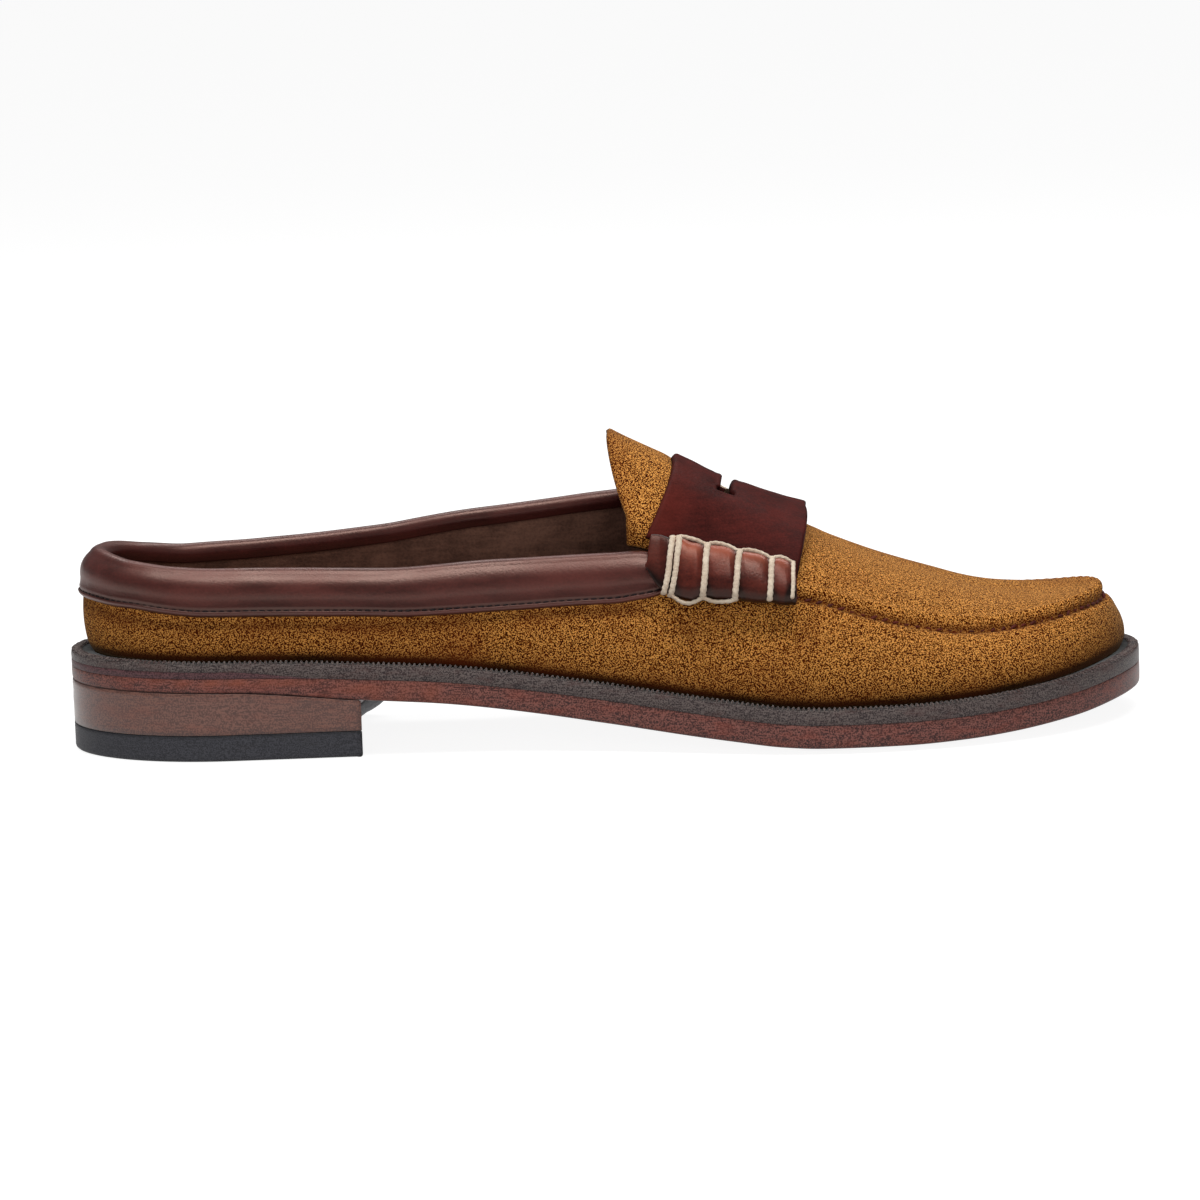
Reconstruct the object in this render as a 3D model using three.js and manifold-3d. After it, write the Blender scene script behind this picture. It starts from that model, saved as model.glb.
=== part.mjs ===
// A low-backed penny loafer for the right foot, standing on its heel and on the ball of its sole.
// Millimetres, +Z up, toe towards +X, outer (lateral) side towards -Y, inner (medial) side towards +Y.
// Lengths along the shoe are shares of its length, counted from the back of the heel.
import * as THREE from 'three';
import { mergeVertices } from 'three/addons/utils/BufferGeometryUtils.js';
import Module from 'manifold-3d';

// Plan of the sole
const LENGTH = 298;
const BALL_WIDTH = 106;
const HEEL_WIDTH = 66.4;
const TOE_LEAN = 9;
const HEEL_ROUND = 0.15;
const TOE_ROUND = 0.285;

// Heights and thicknesses of the bottom
const HEEL_HEIGHT = 19.4;
const TOE_SPRING = 6.2;
const TREAD_CAMBER = 1.3;
const TREAD_FLAT_INSET = 18;
const CAMBER_HALFWAY = 0.28;
const OUTSOLE_THICKNESS = 6.3;
const WELT_THICKNESS = 4;
const WELT_REVEAL = 4.3;
const EDGE_ROUND = 0.9;
const WELT_EASE = 0.5;
const INSOLE_EASE = 0.8;
const RAND_THICKNESS = 1.9;
const RAND_END = 0.24;
const RAND_TAIL = 0.55;
const TOP_LIFT_THICKNESS = 7.2;
const BREAST_LATERAL = 81.4;
const BREAST_MEDIAL = 86;
const CORNER_CUT = 6.5;
const CORNER_CUT_HEIGHT = 5;
const CORNER_CUT_CURVE = 1.6;
const BREAST_HOLLOW = 5;
const BREAST_ROUNDNESS = 0.8;
const INSOLE_ABOVE_WELT = 1.8;
const CLEARANCE = 0.3;

// Upper
const WALL = 2;
const INSTEP_RISE = 65;
const COLLAR_RISE = 26;
const COLLAR_LEAN = 7;
const TOE_RISE = 15.5;
const SEAM_INSET = 14.5;
const SEAM_STEP = 3.6;
const SEAM_ROUND = 1.1;
const WALL_BULGE = 1.6;
const APRON_BACK = 0.63;

// Tongue
const TONGUE_TIP = 0.51;
const TONGUE_FOOT = 0.521;
const TONGUE_TUCK = 5;
const TONGUE_ROOT_BACK = 0.2;
const TONGUE_ROOT_FRONT = 0.1;
const TONGUE_SPLAY = 0.3;
const TONGUE_THICKNESS = 2;

// Saddle strap
const SADDLE_BACK_CREST = 0.568;
const SADDLE_BACK_SIDE = 0.536;
const SADDLE_FRONT_CREST = 0.688;
const SADDLE_FRONT_SIDE = 0.67;
const SADDLE_THICKNESS = 2.4;
const SADDLE_SKIVE = 0.6;
const SADDLE_STANDOFF = 3.8;
const SADDLE_FOOT = 2.5;
const SLOT_WIDTH = 3;
const SLOT_LENGTH = 31;
const SLOT_FLARE = 5.5;
const SLOT_PLACE = 0.6175;

// Beef rolls at the two ends of the saddle
const ROLL_BACK = 0.528;
const ROLL_FRONT = 0.664;
const ROLL_HEIGHT = 17;
const ROLL_DEPTH = 9;
const ROLL_PINCH = 0.09;
const ROLL_TAPER = 0.22;
const ROLL_BACK_LIFT = 1.5;
const ROLL_WRAPS = 5;
const ROLL_FIRST_WRAP = 0.553;

// Binding round the collar
const BINDING_DEPTH = 12.5;
const BINDING_INSIDE = 5.5;
const BINDING_THICKNESS = 1.4;
const BINDING_END = 0.531;
const BINDING_PADDING = 0.5;

// How finely the curved pieces are cut
const STATIONS = 48;
const WALL_ROWS = 6;
const SHEET_STEPS = 8;
const BREAST_STEPS = 8;
const ROLL_SIDES = 14;

// Half width of the sole, from the heel's (0) to the ball's (1)
const PLAN = [
  { at: 0.15, lateral: 0, medial: 0 },
  { at: 0.3, lateral: -0.02, medial: -0.11 },
  { at: 0.4, lateral: 0.015, medial: -0.27 },
  { at: 0.5, lateral: 0.26, medial: -0.09 },
  { at: 0.6, lateral: 0.66, medial: 0.52 },
  { at: 0.66, lateral: 0.87, medial: 0.86 },
  { at: 0.715, lateral: 0.95, medial: 1.05 },
];

// Underside of the outsole: shares of heel height, toe spring, tread camber and outsole thickness
const BOTTOM = [
  { at: 0, heel: 1, toe: 0, camber: 0, thickness: 0.6 },
  { at: 0.15, heel: 0.975, toe: 0, camber: 0, thickness: 0.62 },
  { at: 0.28, heel: 0.8, toe: 0, camber: 0, thickness: 0.9 },
  { at: 0.35, heel: 0.71, toe: 0, camber: 0.05, thickness: 0.94 },
  { at: 0.44, heel: 0.515, toe: 0, camber: 0.25, thickness: 0.97 },
  { at: 0.5, heel: 0.365, toe: 0, camber: 0.5, thickness: 1 },
  { at: 0.57, heel: 0.19, toe: 0, camber: 0.85, thickness: 1 },
  { at: 0.62, heel: 0.085, toe: 0, camber: 1, thickness: 1 },
  { at: 0.66, heel: 0.02, toe: 0, camber: 1, thickness: 1 },
  { at: 0.69, heel: 0, toe: 0, camber: 1, thickness: 1 },
  { at: 0.77, heel: 0, toe: 0, camber: 1, thickness: 1 },
  { at: 0.82, heel: 0, toe: 0.06, camber: 1, thickness: 1 },
  { at: 0.87, heel: 0, toe: 0.2, camber: 1, thickness: 1 },
  { at: 0.93, heel: 0, toe: 0.52, camber: 0.8, thickness: 1 },
  { at: 1, heel: 0, toe: 1, camber: 0.4, thickness: 1 },
];

// Wall of the upper: share of the welt's reveal at its foot, share of the bulge, and how late it leans in
const WALL_SHAPE = [
  { at: 0, reveal: 1.15, bulge: 0.7, power: 4 },
  { at: 0.15, reveal: 0.8, bulge: 0.8, power: 3.6 },
  { at: 0.3, reveal: 0.62, bulge: 0.6, power: 3 },
  { at: 0.45, reveal: 0.62, bulge: 0.6, power: 2.6 },
  { at: 0.6, reveal: 0.8, bulge: 0.9, power: 2.3 },
  { at: 0.75, reveal: 0.95, bulge: 1, power: 2.2 },
  { at: 0.9, reveal: 0.95, bulge: 0.8, power: 2.6 },
  { at: 1, reveal: 0.92, bulge: 0.2, power: 2.3 },
];

// Topline from the heel to the saddle: shares of the collar's rise and lean
const TOPLINE = [
  { at: 0, lateralRise: 1, medialRise: 1, lateralLean: 1.15, medialLean: 1.15 },
  { at: 0.05, lateralRise: 0.93, medialRise: 0.92, lateralLean: 1.08, medialLean: 1.08 },
  { at: 0.1, lateralRise: 0.89, medialRise: 0.86, lateralLean: 1, medialLean: 1 },
  { at: 0.15, lateralRise: 0.88, medialRise: 0.875, lateralLean: 0.96, medialLean: 0.96 },
  { at: 0.2, lateralRise: 0.88, medialRise: 0.92, lateralLean: 0.94, medialLean: 0.94 },
  { at: 0.3, lateralRise: 0.9, medialRise: 1.09, lateralLean: 0.94, medialLean: 0.98 },
  { at: 0.4, lateralRise: 1.055, medialRise: 1.365, lateralLean: 1, medialLean: 1.02 },
  { at: 0.5, lateralRise: 1.26, medialRise: 1.625, lateralLean: 1.16, medialLean: 1.15 },
  { at: 0.53, lateralRise: 1.32, medialRise: 1.685, lateralLean: 1.3, medialLean: 1.25 },
];

// Moccasin seam from the saddle to the toe: shares of the toe's rise and of the seam's inset
const SEAM = [
  { at: 0.57, lateralRise: 1.92, medialRise: 2.4, lateralLean: 0.73, medialLean: 0.72 },
  { at: 0.6, lateralRise: 1.89, medialRise: 2.25, lateralLean: 0.83, medialLean: 0.8 },
  { at: 0.65, lateralRise: 1.86, medialRise: 2.08, lateralLean: 0.92, medialLean: 0.86 },
  { at: 0.69, lateralRise: 1.75, medialRise: 1.92, lateralLean: 0.97, medialLean: 0.9 },
  { at: 0.73, lateralRise: 1.54, medialRise: 1.67, lateralLean: 1, medialLean: 0.93 },
  { at: 0.77, lateralRise: 1.342, medialRise: 1.445, lateralLean: 1.02, medialLean: 0.93 },
  { at: 0.82, lateralRise: 1.125, medialRise: 1.18, lateralLean: 1, medialLean: 0.9 },
  { at: 0.86, lateralRise: 1.01, medialRise: 1, lateralLean: 0.93, medialLean: 0.86 },
  { at: 0.91, lateralRise: 0.955, medialRise: 0.92, lateralLean: 0.83, medialLean: 0.79 },
  { at: 0.955, lateralRise: 0.942, medialRise: 0.91, lateralLean: 0.69, medialLean: 0.69 },
  { at: 1, lateralRise: 0.89, medialRise: 0.89, lateralLean: 0.63, medialLean: 0.63 },
];

// Crest of the instep: share of the instep's rise, and share of the toe's lean
const CREST = [
  { at: 0.45, rise: 1.12, lean: 0.1 },
  { at: 0.5, rise: 1.03, lean: 0.14 },
  { at: 0.55, rise: 0.93, lean: 0.18 },
  { at: 0.6, rise: 0.823, lean: 0.22 },
  { at: 0.65, rise: 0.72, lean: 0.28 },
  { at: 0.7, rise: 0.617, lean: 0.36 },
  { at: 0.75, rise: 0.517, lean: 0.48 },
  { at: 0.8, rise: 0.433, lean: 0.62 },
  { at: 0.85, rise: 0.345, lean: 0.8 },
  { at: 0.9, rise: 0.299, lean: 0.95 },
  { at: 0.95, rise: 0.295, lean: 1 },
];

// Where on the crest a section of the apron ends, and share of the seam's step there
const APRON = [
  { at: 0.4, crest: 0.4, step: 0.1 },
  { at: 0.5, crest: 0.5, step: 0.2 },
  { at: 0.6, crest: 0.598, step: 0.35 },
  { at: 0.7, crest: 0.692, step: 0.7 },
  { at: 0.8, crest: 0.776, step: 0.95 },
  { at: 0.9, crest: 0.85, step: 1 },
  { at: 1, crest: 0.905, step: 1.15 },
];

// A smooth curve through one column of a table, level at both ends and without overshoot
function curveThrough(rows, column) {
  const last = rows.length - 1;
  const slopes = rows.map((row, i) => {
    if (i === 0 || i === last) return 0;
    const before = (row[column] - rows[i - 1][column]) / (row.at - rows[i - 1].at);
    const after = (rows[i + 1][column] - row[column]) / (rows[i + 1].at - row.at);
    return before * after > 0 ? (2 * before * after) / (before + after) : 0;
  });
  return (at) => {
    if (at <= rows[0].at) return rows[0][column];
    if (at >= rows[last].at) return rows[last][column];
    const i = rows.findIndex((row) => row.at > at) - 1;
    const span = rows[i + 1].at - rows[i].at;
    const t = (at - rows[i].at) / span;
    const startWeight = (1 + 2 * t) * (1 - t) ** 2;
    const endWeight = t * t * (3 - 2 * t);
    const startPull = t * (1 - t) ** 2 * span * slopes[i];
    const endPull = t * t * (t - 1) * span * slopes[i + 1];
    return startWeight * rows[i][column] + endWeight * rows[i + 1][column] + startPull + endPull;
  };
}

function wallTopRows(column, collarSize, seamSize) {
  const collar = TOPLINE.map((row) => ({ at: row.at, size: row[column] * collarSize }));
  const seam = SEAM.map((row) => ({ at: row.at, size: row[column] * seamSize }));
  return [...collar, ...seam];
}

const planCurve = {
  lateral: curveThrough(PLAN, 'lateral'),
  medial: curveThrough(PLAN, 'medial'),
};
const heelShare = curveThrough(BOTTOM, 'heel');
const toeShare = curveThrough(BOTTOM, 'toe');
const camberShare = curveThrough(BOTTOM, 'camber');
const thicknessShare = curveThrough(BOTTOM, 'thickness');
const revealShare = curveThrough(WALL_SHAPE, 'reveal');
const bulgeShare = curveThrough(WALL_SHAPE, 'bulge');
const leanPower = curveThrough(WALL_SHAPE, 'power');
const wallRise = {
  lateral: curveThrough(wallTopRows('lateralRise', COLLAR_RISE, TOE_RISE), 'size'),
  medial: curveThrough(wallTopRows('medialRise', COLLAR_RISE, TOE_RISE), 'size'),
};
const wallLean = {
  lateral: curveThrough(wallTopRows('lateralLean', COLLAR_LEAN, SEAM_INSET), 'size'),
  medial: curveThrough(wallTopRows('medialLean', COLLAR_LEAN, SEAM_INSET), 'size'),
};
const crestShare = curveThrough(CREST, 'rise');
const crestLean = curveThrough(CREST, 'lean');
const apronCrest = curveThrough(APRON, 'crest');
const apronStep = curveThrough(APRON, 'step');

// Heights along the sole
const treadZ = (at) => HEEL_HEIGHT * heelShare(at) + TOE_SPRING * toeShare(at);
const edgeZ = (at) => treadZ(at) + TREAD_CAMBER * camberShare(at);
const outsoleTopZ = (at) => edgeZ(at) + OUTSOLE_THICKNESS * thicknessShare(at);
const weltTopZ = (at) => outsoleTopZ(at) + CLEARANCE + WELT_THICKNESS;

// Round end of the plan: 0 at the tip, 1 where the round meets the side
const roundEnd = (share) => Math.sqrt(Math.max(0, 1 - (1 - share) ** 2));

// Stations run from the heel (0) to the toe (1), close together at both round ends
const shareAt = (station) => (1 - Math.cos(Math.PI * station)) / 2;
const stationAt = (share) => Math.acos(1 - 2 * share) / Math.PI;

function outlineY(side, at) {
  const outward = side === 'lateral' ? -1 : 1;
  const width = (share) => {
    const heel = HEEL_WIDTH / 2;
    const ball = BALL_WIDTH / 2;
    return outward * (heel + (ball - heel) * planCurve[side](share));
  };
  if (at < HEEL_ROUND) return width(HEEL_ROUND) * roundEnd(at / HEEL_ROUND);
  if (at > 1 - TOE_ROUND) {
    return TOE_LEAN + (width(1 - TOE_ROUND) - TOE_LEAN) * roundEnd((1 - at) / TOE_ROUND);
  }
  return width(at);
}

function outlinePoint(side, station) {
  const at = shareAt(station);
  return new THREE.Vector2(LENGTH * at, outlineY(side, at));
}

// A point of the plan, moved in from the sole's edge at a right angle to it
function insetPoint(side, station, inset) {
  const reach = 0.004;
  const before = outlinePoint(side, Math.max(0, station - reach));
  const after = outlinePoint(side, Math.min(1, station + reach));
  const along = after.sub(before).normalize();
  const inward = side === 'lateral' ? 1 : -1;
  const atEnd = station < reach || station > 1 - reach;
  const normalX = atEnd ? Math.sign(0.5 - station) : -along.y * inward;
  const normalY = atEnd ? 0 : along.x * inward;
  const edge = outlinePoint(side, station);
  return new THREE.Vector2(edge.x + normalX * inset, edge.y + normalY * inset);
}

// Outer face of the wall: row 0 at the welt, row 1 at the topline or the seam
function wallPoint(side, station, row) {
  const at = shareAt(station);
  const foot = WELT_REVEAL * revealShare(at);
  const lean = wallLean[side](at) - foot;
  const bulge = WALL_BULGE * bulgeShare(at) * Math.sin(Math.PI * row);
  const flat = insetPoint(side, station, foot + lean * row ** leanPower(at) - bulge);
  const z = weltTopZ(at) + CLEARANCE + wallRise[side](at) * row;
  return new THREE.Vector3(flat.x, flat.y, z);
}

function crestPoint(at) {
  const z = weltTopZ(at) + INSTEP_RISE * crestShare(at);
  return new THREE.Vector3(LENGTH * at, TOE_LEAN * crestLean(at), z);
}

// Outer face of the dome over the instep: row 0 at the seam, row 1 on the crest
function domePoint(side, station, row) {
  const at = shareAt(station);
  const foot = wallPoint(side, station, 1);
  const crest = crestPoint(apronCrest(at));
  const step = SEAM_STEP * apronStep(at);
  const reach = Math.hypot(crest.x - foot.x, crest.y - foot.y) * row;
  const point = foot.clone().lerp(crest, row);
  const dome = (crest.z - foot.z - step) * (1 - (1 - row) ** 2);
  point.z = foot.z + step * (1 - Math.exp(-reach / SEAM_ROUND)) + dome;
  return point;
}

function domeNormal(side, station, row) {
  const reach = 0.01;
  const here = domePoint(side, station, row);
  const onward = domePoint(side, Math.min(1, station + reach), row).sub(here);
  const upward = domePoint(side, station, Math.min(1, row + reach)).sub(here);
  if (row >= 1) upward.copy(here).sub(domePoint(side, station, 1 - reach));
  const normal = side === 'lateral' ? onward.cross(upward) : upward.cross(onward);
  return normal.normalize();
}

// Triangles are kept as flat lists of corners
function addQuad(corners, a, b, c, d) {
  corners.push(a, b, c, a, c, d);
}

function spread(count) {
  return Array.from({ length: count + 1 }, (_, i) => i / count);
}

function geometryFrom(corners) {
  const geometry = new THREE.BufferGeometry().setFromPoints(corners);
  const merged = mergeVertices(geometry, 1e-4);
  const index = Array.from(merged.getIndex().array);
  const kept = [];
  for (let i = 0; i < index.length; i += 3) {
    const [a, b, c] = index.slice(i, i + 3);
    if (a !== b && b !== c && c !== a) kept.push(a, b, c);
  }
  merged.setIndex(kept);
  merged.computeVertexNormals();
  return merged;
}

// A closed body between an outer and an inner grid of the same size
function bodyBetween(outer, inner) {
  const corners = [];
  const lastRow = outer.length - 1;
  const lastColumn = outer[0].length - 1;
  for (let i = 0; i < lastRow; i += 1) {
    for (let k = 0; k < lastColumn; k += 1) {
      addQuad(corners, outer[i][k], outer[i + 1][k], outer[i + 1][k + 1], outer[i][k + 1]);
      addQuad(corners, inner[i][k], inner[i][k + 1], inner[i + 1][k + 1], inner[i + 1][k]);
    }
    addQuad(corners, outer[i][0], inner[i][0], inner[i + 1][0], outer[i + 1][0]);
    const end = lastColumn;
    addQuad(corners, outer[i][end], outer[i + 1][end], inner[i + 1][end], inner[i][end]);
  }
  for (let k = 0; k < lastColumn; k += 1) {
    addQuad(corners, outer[0][k], outer[0][k + 1], inner[0][k + 1], inner[0][k]);
    const end = lastRow;
    addQuad(corners, outer[end][k], inner[end][k], inner[end][k + 1], outer[end][k + 1]);
  }
  return geometryFrom(corners);
}

// Closed loops of points, joined one to the next
function bandBetween(corners, lower, upper) {
  lower.forEach((point, i) => {
    const next = (i + 1) % lower.length;
    addQuad(corners, point, lower[next], upper[next], upper[i]);
  });
}

// Ring round the whole sole, counter-clockwise from the heel along the outer side
function soleRing(inset, heightAt) {
  const ring = [];
  const place = (side, station) => {
    const flat = insetPoint(side, station, inset(shareAt(station)));
    ring.push(new THREE.Vector3(flat.x, flat.y, heightAt(shareAt(station))));
  };
  for (let i = 0; i <= STATIONS; i += 1) place('lateral', i / STATIONS);
  for (let i = STATIONS - 1; i > 0; i -= 1) place('medial', i / STATIONS);
  return ring;
}

// Fills a sole ring with strips from one side to the other
function fillRing(corners, ring, facingUp) {
  const count = ring.length;
  for (let i = 0; i < count / 2; i += 1) {
    const quad = [ring[i], ring[i + 1], ring[(count - i - 1) % count], ring[(count - i) % count]];
    if (!facingUp) quad.reverse();
    addQuad(corners, ...quad);
  }
}

function soleBody(rings) {
  const corners = [];
  fillRing(corners, rings[0], false);
  for (let i = 1; i < rings.length; i += 1) bandBetween(corners, rings[i - 1], rings[i]);
  fillRing(corners, rings[rings.length - 1], true);
  return geometryFrom(corners);
}

// Outsole: cambered tread, rounded lower edge, level top
function makeOutsole() {
  const camber = (at) => edgeZ(at) - treadZ(at);
  return soleBody([
    soleRing(() => TREAD_FLAT_INSET, treadZ),
    soleRing(() => TREAD_FLAT_INSET / 2, (at) => treadZ(at) + CAMBER_HALFWAY * camber(at)),
    soleRing(() => EDGE_ROUND, edgeZ),
    soleRing(() => 0, (at) => edgeZ(at) + EDGE_ROUND),
    soleRing(() => 0, outsoleTopZ),
  ]);
}

// The rand under the welt thins out to nothing before the heel's breast
const randThickness = curveThrough([
  { at: 0, share: 1 },
  { at: HEEL_ROUND, share: 0.95 },
  { at: RAND_END, share: 0 },
], 'share');
const randEndsAt = HEEL_ROUND + (RAND_END - HEEL_ROUND) * RAND_TAIL;

function weltUndersideZ(at) {
  const rand = at > randEndsAt ? 0 : RAND_THICKNESS * randThickness(at) + CLEARANCE;
  return outsoleTopZ(at) + CLEARANCE + rand;
}

const weltInner = (at) => WELT_REVEAL * revealShare(at) + WALL + CLEARANCE;

// Welt: a flat ring round the sole, its top edges eased
function makeWelt() {
  const rings = [
    soleRing(weltInner, weltUndersideZ),
    soleRing(() => 0, weltUndersideZ),
    soleRing(() => 0, (at) => weltTopZ(at) - WELT_EASE),
    soleRing(() => WELT_EASE, weltTopZ),
    soleRing(weltInner, weltTopZ),
  ];
  const corners = [];
  rings.forEach((ring, i) => bandBetween(corners, ring, rings[(i + 1) % rings.length]));
  return geometryFrom(corners);
}

// Heel rand: a horseshoe strip under the welt
function makeHeelRand() {
  const shares = spread(STATIONS / 2).map((t) => shareAt(t * stationAt(randEndsAt)));
  const path = [];
  shares.slice().reverse().forEach((at) => path.push({ side: 'medial', at }));
  shares.slice(1).forEach((at) => path.push({ side: 'lateral', at }));
  const section = ({ side, at }, inset, z) => {
    const flat = insetPoint(side, stationAt(at), inset);
    return new THREE.Vector3(flat.x, flat.y, z);
  };
  const lowZ = (at) => outsoleTopZ(at) + CLEARANCE;
  const highZ = (at) => lowZ(at) + RAND_THICKNESS * randThickness(at);
  const outer = path.map((p) => [section(p, 0, lowZ(p.at)), section(p, 0, highZ(p.at))]);
  const inner = path.map((p) => {
    const inset = weltInner(p.at);
    return [section(p, inset, lowZ(p.at)), section(p, inset, highZ(p.at))];
  });
  return bodyBetween(outer, inner);
}

// Outline of the heel at one level: the sole's round end, closed by a hollow breast
function heelLoop(breastMedial) {
  const loop = [];
  const sideCount = STATIONS / 3;
  const walk = (side, reach) => spread(sideCount).map((t) => {
    const at = shareAt(t * stationAt(reach / LENGTH));
    return new THREE.Vector2(LENGTH * at, outlineY(side, at));
  });
  const lateral = walk('lateral', BREAST_LATERAL);
  const medial = walk('medial', breastMedial);
  const from = lateral[sideCount];
  const to = medial[sideCount];
  loop.push(...lateral);
  spread(BREAST_STEPS).slice(1, -1).forEach((t) => {
    const hollow = BREAST_HOLLOW * Math.sin(Math.PI * t) ** BREAST_ROUNDNESS;
    loop.push(from.clone().lerp(to, t).sub(new THREE.Vector2(hollow, 0)));
  });
  loop.push(...medial.slice(1).reverse());
  return loop;
}

function heelBody(levels) {
  const corners = [];
  const rings = levels.map(({ loop, heightAt }) => {
    return loop.map((p) => new THREE.Vector3(p.x, p.y, heightAt(p.x / LENGTH)));
  });
  const fill = (ring, loop, facingUp) => {
    THREE.ShapeUtils.triangulateShape(loop, []).forEach(([a, b, c]) => {
      const face = facingUp ? [ring[a], ring[b], ring[c]] : [ring[c], ring[b], ring[a]];
      corners.push(...face);
    });
  };
  const last = levels.length - 1;
  fill(rings[0], levels[0].loop, false);
  for (let i = 1; i <= last; i += 1) bandBetween(corners, rings[i - 1], rings[i]);
  fill(rings[last], levels[last].loop, true);
  return geometryFrom(corners);
}

// The inner front corner of the heel is cut back towards the floor
function breastMedialAt(z) {
  const cut = Math.max(0, 1 - z / CORNER_CUT_HEIGHT);
  return BREAST_MEDIAL - CORNER_CUT * cut ** CORNER_CUT_CURVE;
}

function makeTopLift() {
  const levels = [0, 0.25, 0.5, 0.75, 1].map((share) => share * CORNER_CUT_HEIGHT);
  return heelBody([...levels, TOP_LIFT_THICKNESS].map((z) => {
    return { loop: heelLoop(breastMedialAt(z)), heightAt: () => z };
  }));
}

function makeHeelStack() {
  const loop = heelLoop(breastMedialAt(TOP_LIFT_THICKNESS));
  return heelBody([
    { loop, heightAt: () => TOP_LIFT_THICKNESS + CLEARANCE },
    { loop, heightAt: (at) => treadZ(at) - CLEARANCE },
  ]);
}

// Insole: fills the welt's ring and rises a little inside the wall
function makeInsole() {
  const side = (at) => weltInner(at) + CLEARANCE;
  const top = (at) => weltTopZ(at) + INSOLE_ABOVE_WELT;
  return soleBody([
    soleRing(side, (at) => outsoleTopZ(at) + CLEARANCE),
    soleRing(side, (at) => weltTopZ(at)),
    soleRing((at) => side(at) + INSOLE_EASE, top),
  ]);
}

// Rows of the apron: close together over the step of the seam
const APRON_ROWS = [0, 0.03, 0.1, 0.25, 0.45, 0.7, 1];

// The upper's outer skin as quads: the wall all round, then the apron in front of its back edge
function upperSkin() {
  const quads = [];
  const backStation = stationAt(APRON_BACK);
  const behind = Math.round(STATIONS * backStation);
  const stations = spread(STATIONS).map((t, i) => (i === behind ? backStation : t));
  ['lateral', 'medial'].forEach((side) => {
    const addSkin = (point, rows, from) => {
      for (let i = from; i < STATIONS; i += 1) {
        for (let k = 1; k < rows.length; k += 1) {
          const quad = [
            point(side, stations[i], rows[k - 1]),
            point(side, stations[i + 1], rows[k - 1]),
            point(side, stations[i + 1], rows[k]),
            point(side, stations[i], rows[k]),
          ];
          quads.push(side === 'lateral' ? quad : quad.reverse());
        }
      }
    };
    addSkin(wallPoint, spread(WALL_ROWS), 0);
    addSkin(domePoint, APRON_ROWS, behind);
  });
  return quads;
}

// Gives an open skin a wall: an inner skin along its normals, and strips round its open edges
function thicken(quads, wall) {
  const corners = [];
  quads.forEach((quad) => addQuad(corners, ...quad));
  const skin = geometryFrom(corners);
  const position = skin.getAttribute('position');
  const normal = skin.getAttribute('normal');
  const index = skin.getIndex().array;
  const outer = [];
  const inner = [];
  for (let i = 0; i < position.count; i += 1) {
    const at = new THREE.Vector3().fromBufferAttribute(position, i);
    const inward = new THREE.Vector3().fromBufferAttribute(normal, i).multiplyScalar(-wall);
    outer.push(at);
    inner.push(at.clone().add(inward));
  }
  const edges = new Map();
  const result = [];
  for (let i = 0; i < index.length; i += 3) {
    const [a, b, c] = [index[i], index[i + 1], index[i + 2]];
    result.push(outer[a], outer[b], outer[c], inner[c], inner[b], inner[a]);
    [[a, b], [b, c], [c, a]].forEach(([from, to]) => {
      if (edges.has(`${to} ${from}`)) edges.delete(`${to} ${from}`);
      else edges.set(`${from} ${to}`, [from, to]);
    });
  }
  const footZ = (point) => weltTopZ(Math.min(1, Math.max(0, point.x / LENGTH))) + CLEARANCE;
  const onFoot = (i) => outer[i].z - footZ(outer[i]) < 1;
  edges.forEach(([from, to]) => {
    if (onFoot(from) && onFoot(to)) {
      inner[from].z = outer[from].z;
      inner[to].z = outer[to].z;
    }
  });
  edges.forEach(([from, to]) => addQuad(result, outer[to], outer[from], inner[from], inner[to]));
  return geometryFrom(result);
}

function makeUpper() {
  return thicken(upperSkin(), WALL);
}

// A sheet over the instep from side to side, between a back and a front edge
function instepSheet({ backEdge, frontEdge, root, rows, steps, lift }) {
  const sweep = [
    ...rows.map((climb) => ({ side: 'lateral', climb })),
    ...rows.slice(0, -1).reverse().map((climb) => ({ side: 'medial', climb })),
  ];
  return spread(steps).map((t) => sweep.map(({ side, climb }) => {
    const at = backEdge(climb) + (frontEdge(climb) - backEdge(climb)) * t;
    const row = root(t) + (1 - root(t)) * climb;
    const station = stationAt(at);
    const normal = domeNormal(side, station, row);
    return domePoint(side, station, row).addScaledVector(normal, lift(climb, t));
  }));
}

// Eases from the edge of a sheet (0) to the crest (1), level on the crest
const easeToCrest = (climb) => 1 - (1 - climb) ** 2;

function mix(from, to, share) {
  return from + (to - from) * share;
}

// Tongue: lies on the instep behind the apron, its sides tucked down inside the wall
function makeTongue() {
  const shape = {
    backEdge: (climb) => mix(TONGUE_FOOT, TONGUE_TIP, 1 - (1 - climb) ** 4),
    frontEdge: () => APRON_BACK - (2 * CLEARANCE) / LENGTH,
    root: (t) => mix(TONGUE_ROOT_BACK, TONGUE_ROOT_FRONT, Math.min(1, 2.5 * t)),
    rows: [0, 0.1, 0.25, 0.45, 0.7, 1],
    steps: SHEET_STEPS,
  };
  const tucked = (grid) => grid.map((line) => {
    const low = (point, outward) => {
      return new THREE.Vector3(point.x, point.y + outward, point.z - TONGUE_TUCK);
    };
    const last = line[line.length - 1];
    return [low(line[0], -TONGUE_SPLAY), ...line, low(last, TONGUE_SPLAY)];
  });
  const outer = instepSheet({ ...shape, lift: () => 0 });
  const inner = instepSheet({ ...shape, lift: () => -TONGUE_THICKNESS });
  return bodyBetween(tucked(outer), tucked(inner));
}

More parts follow.
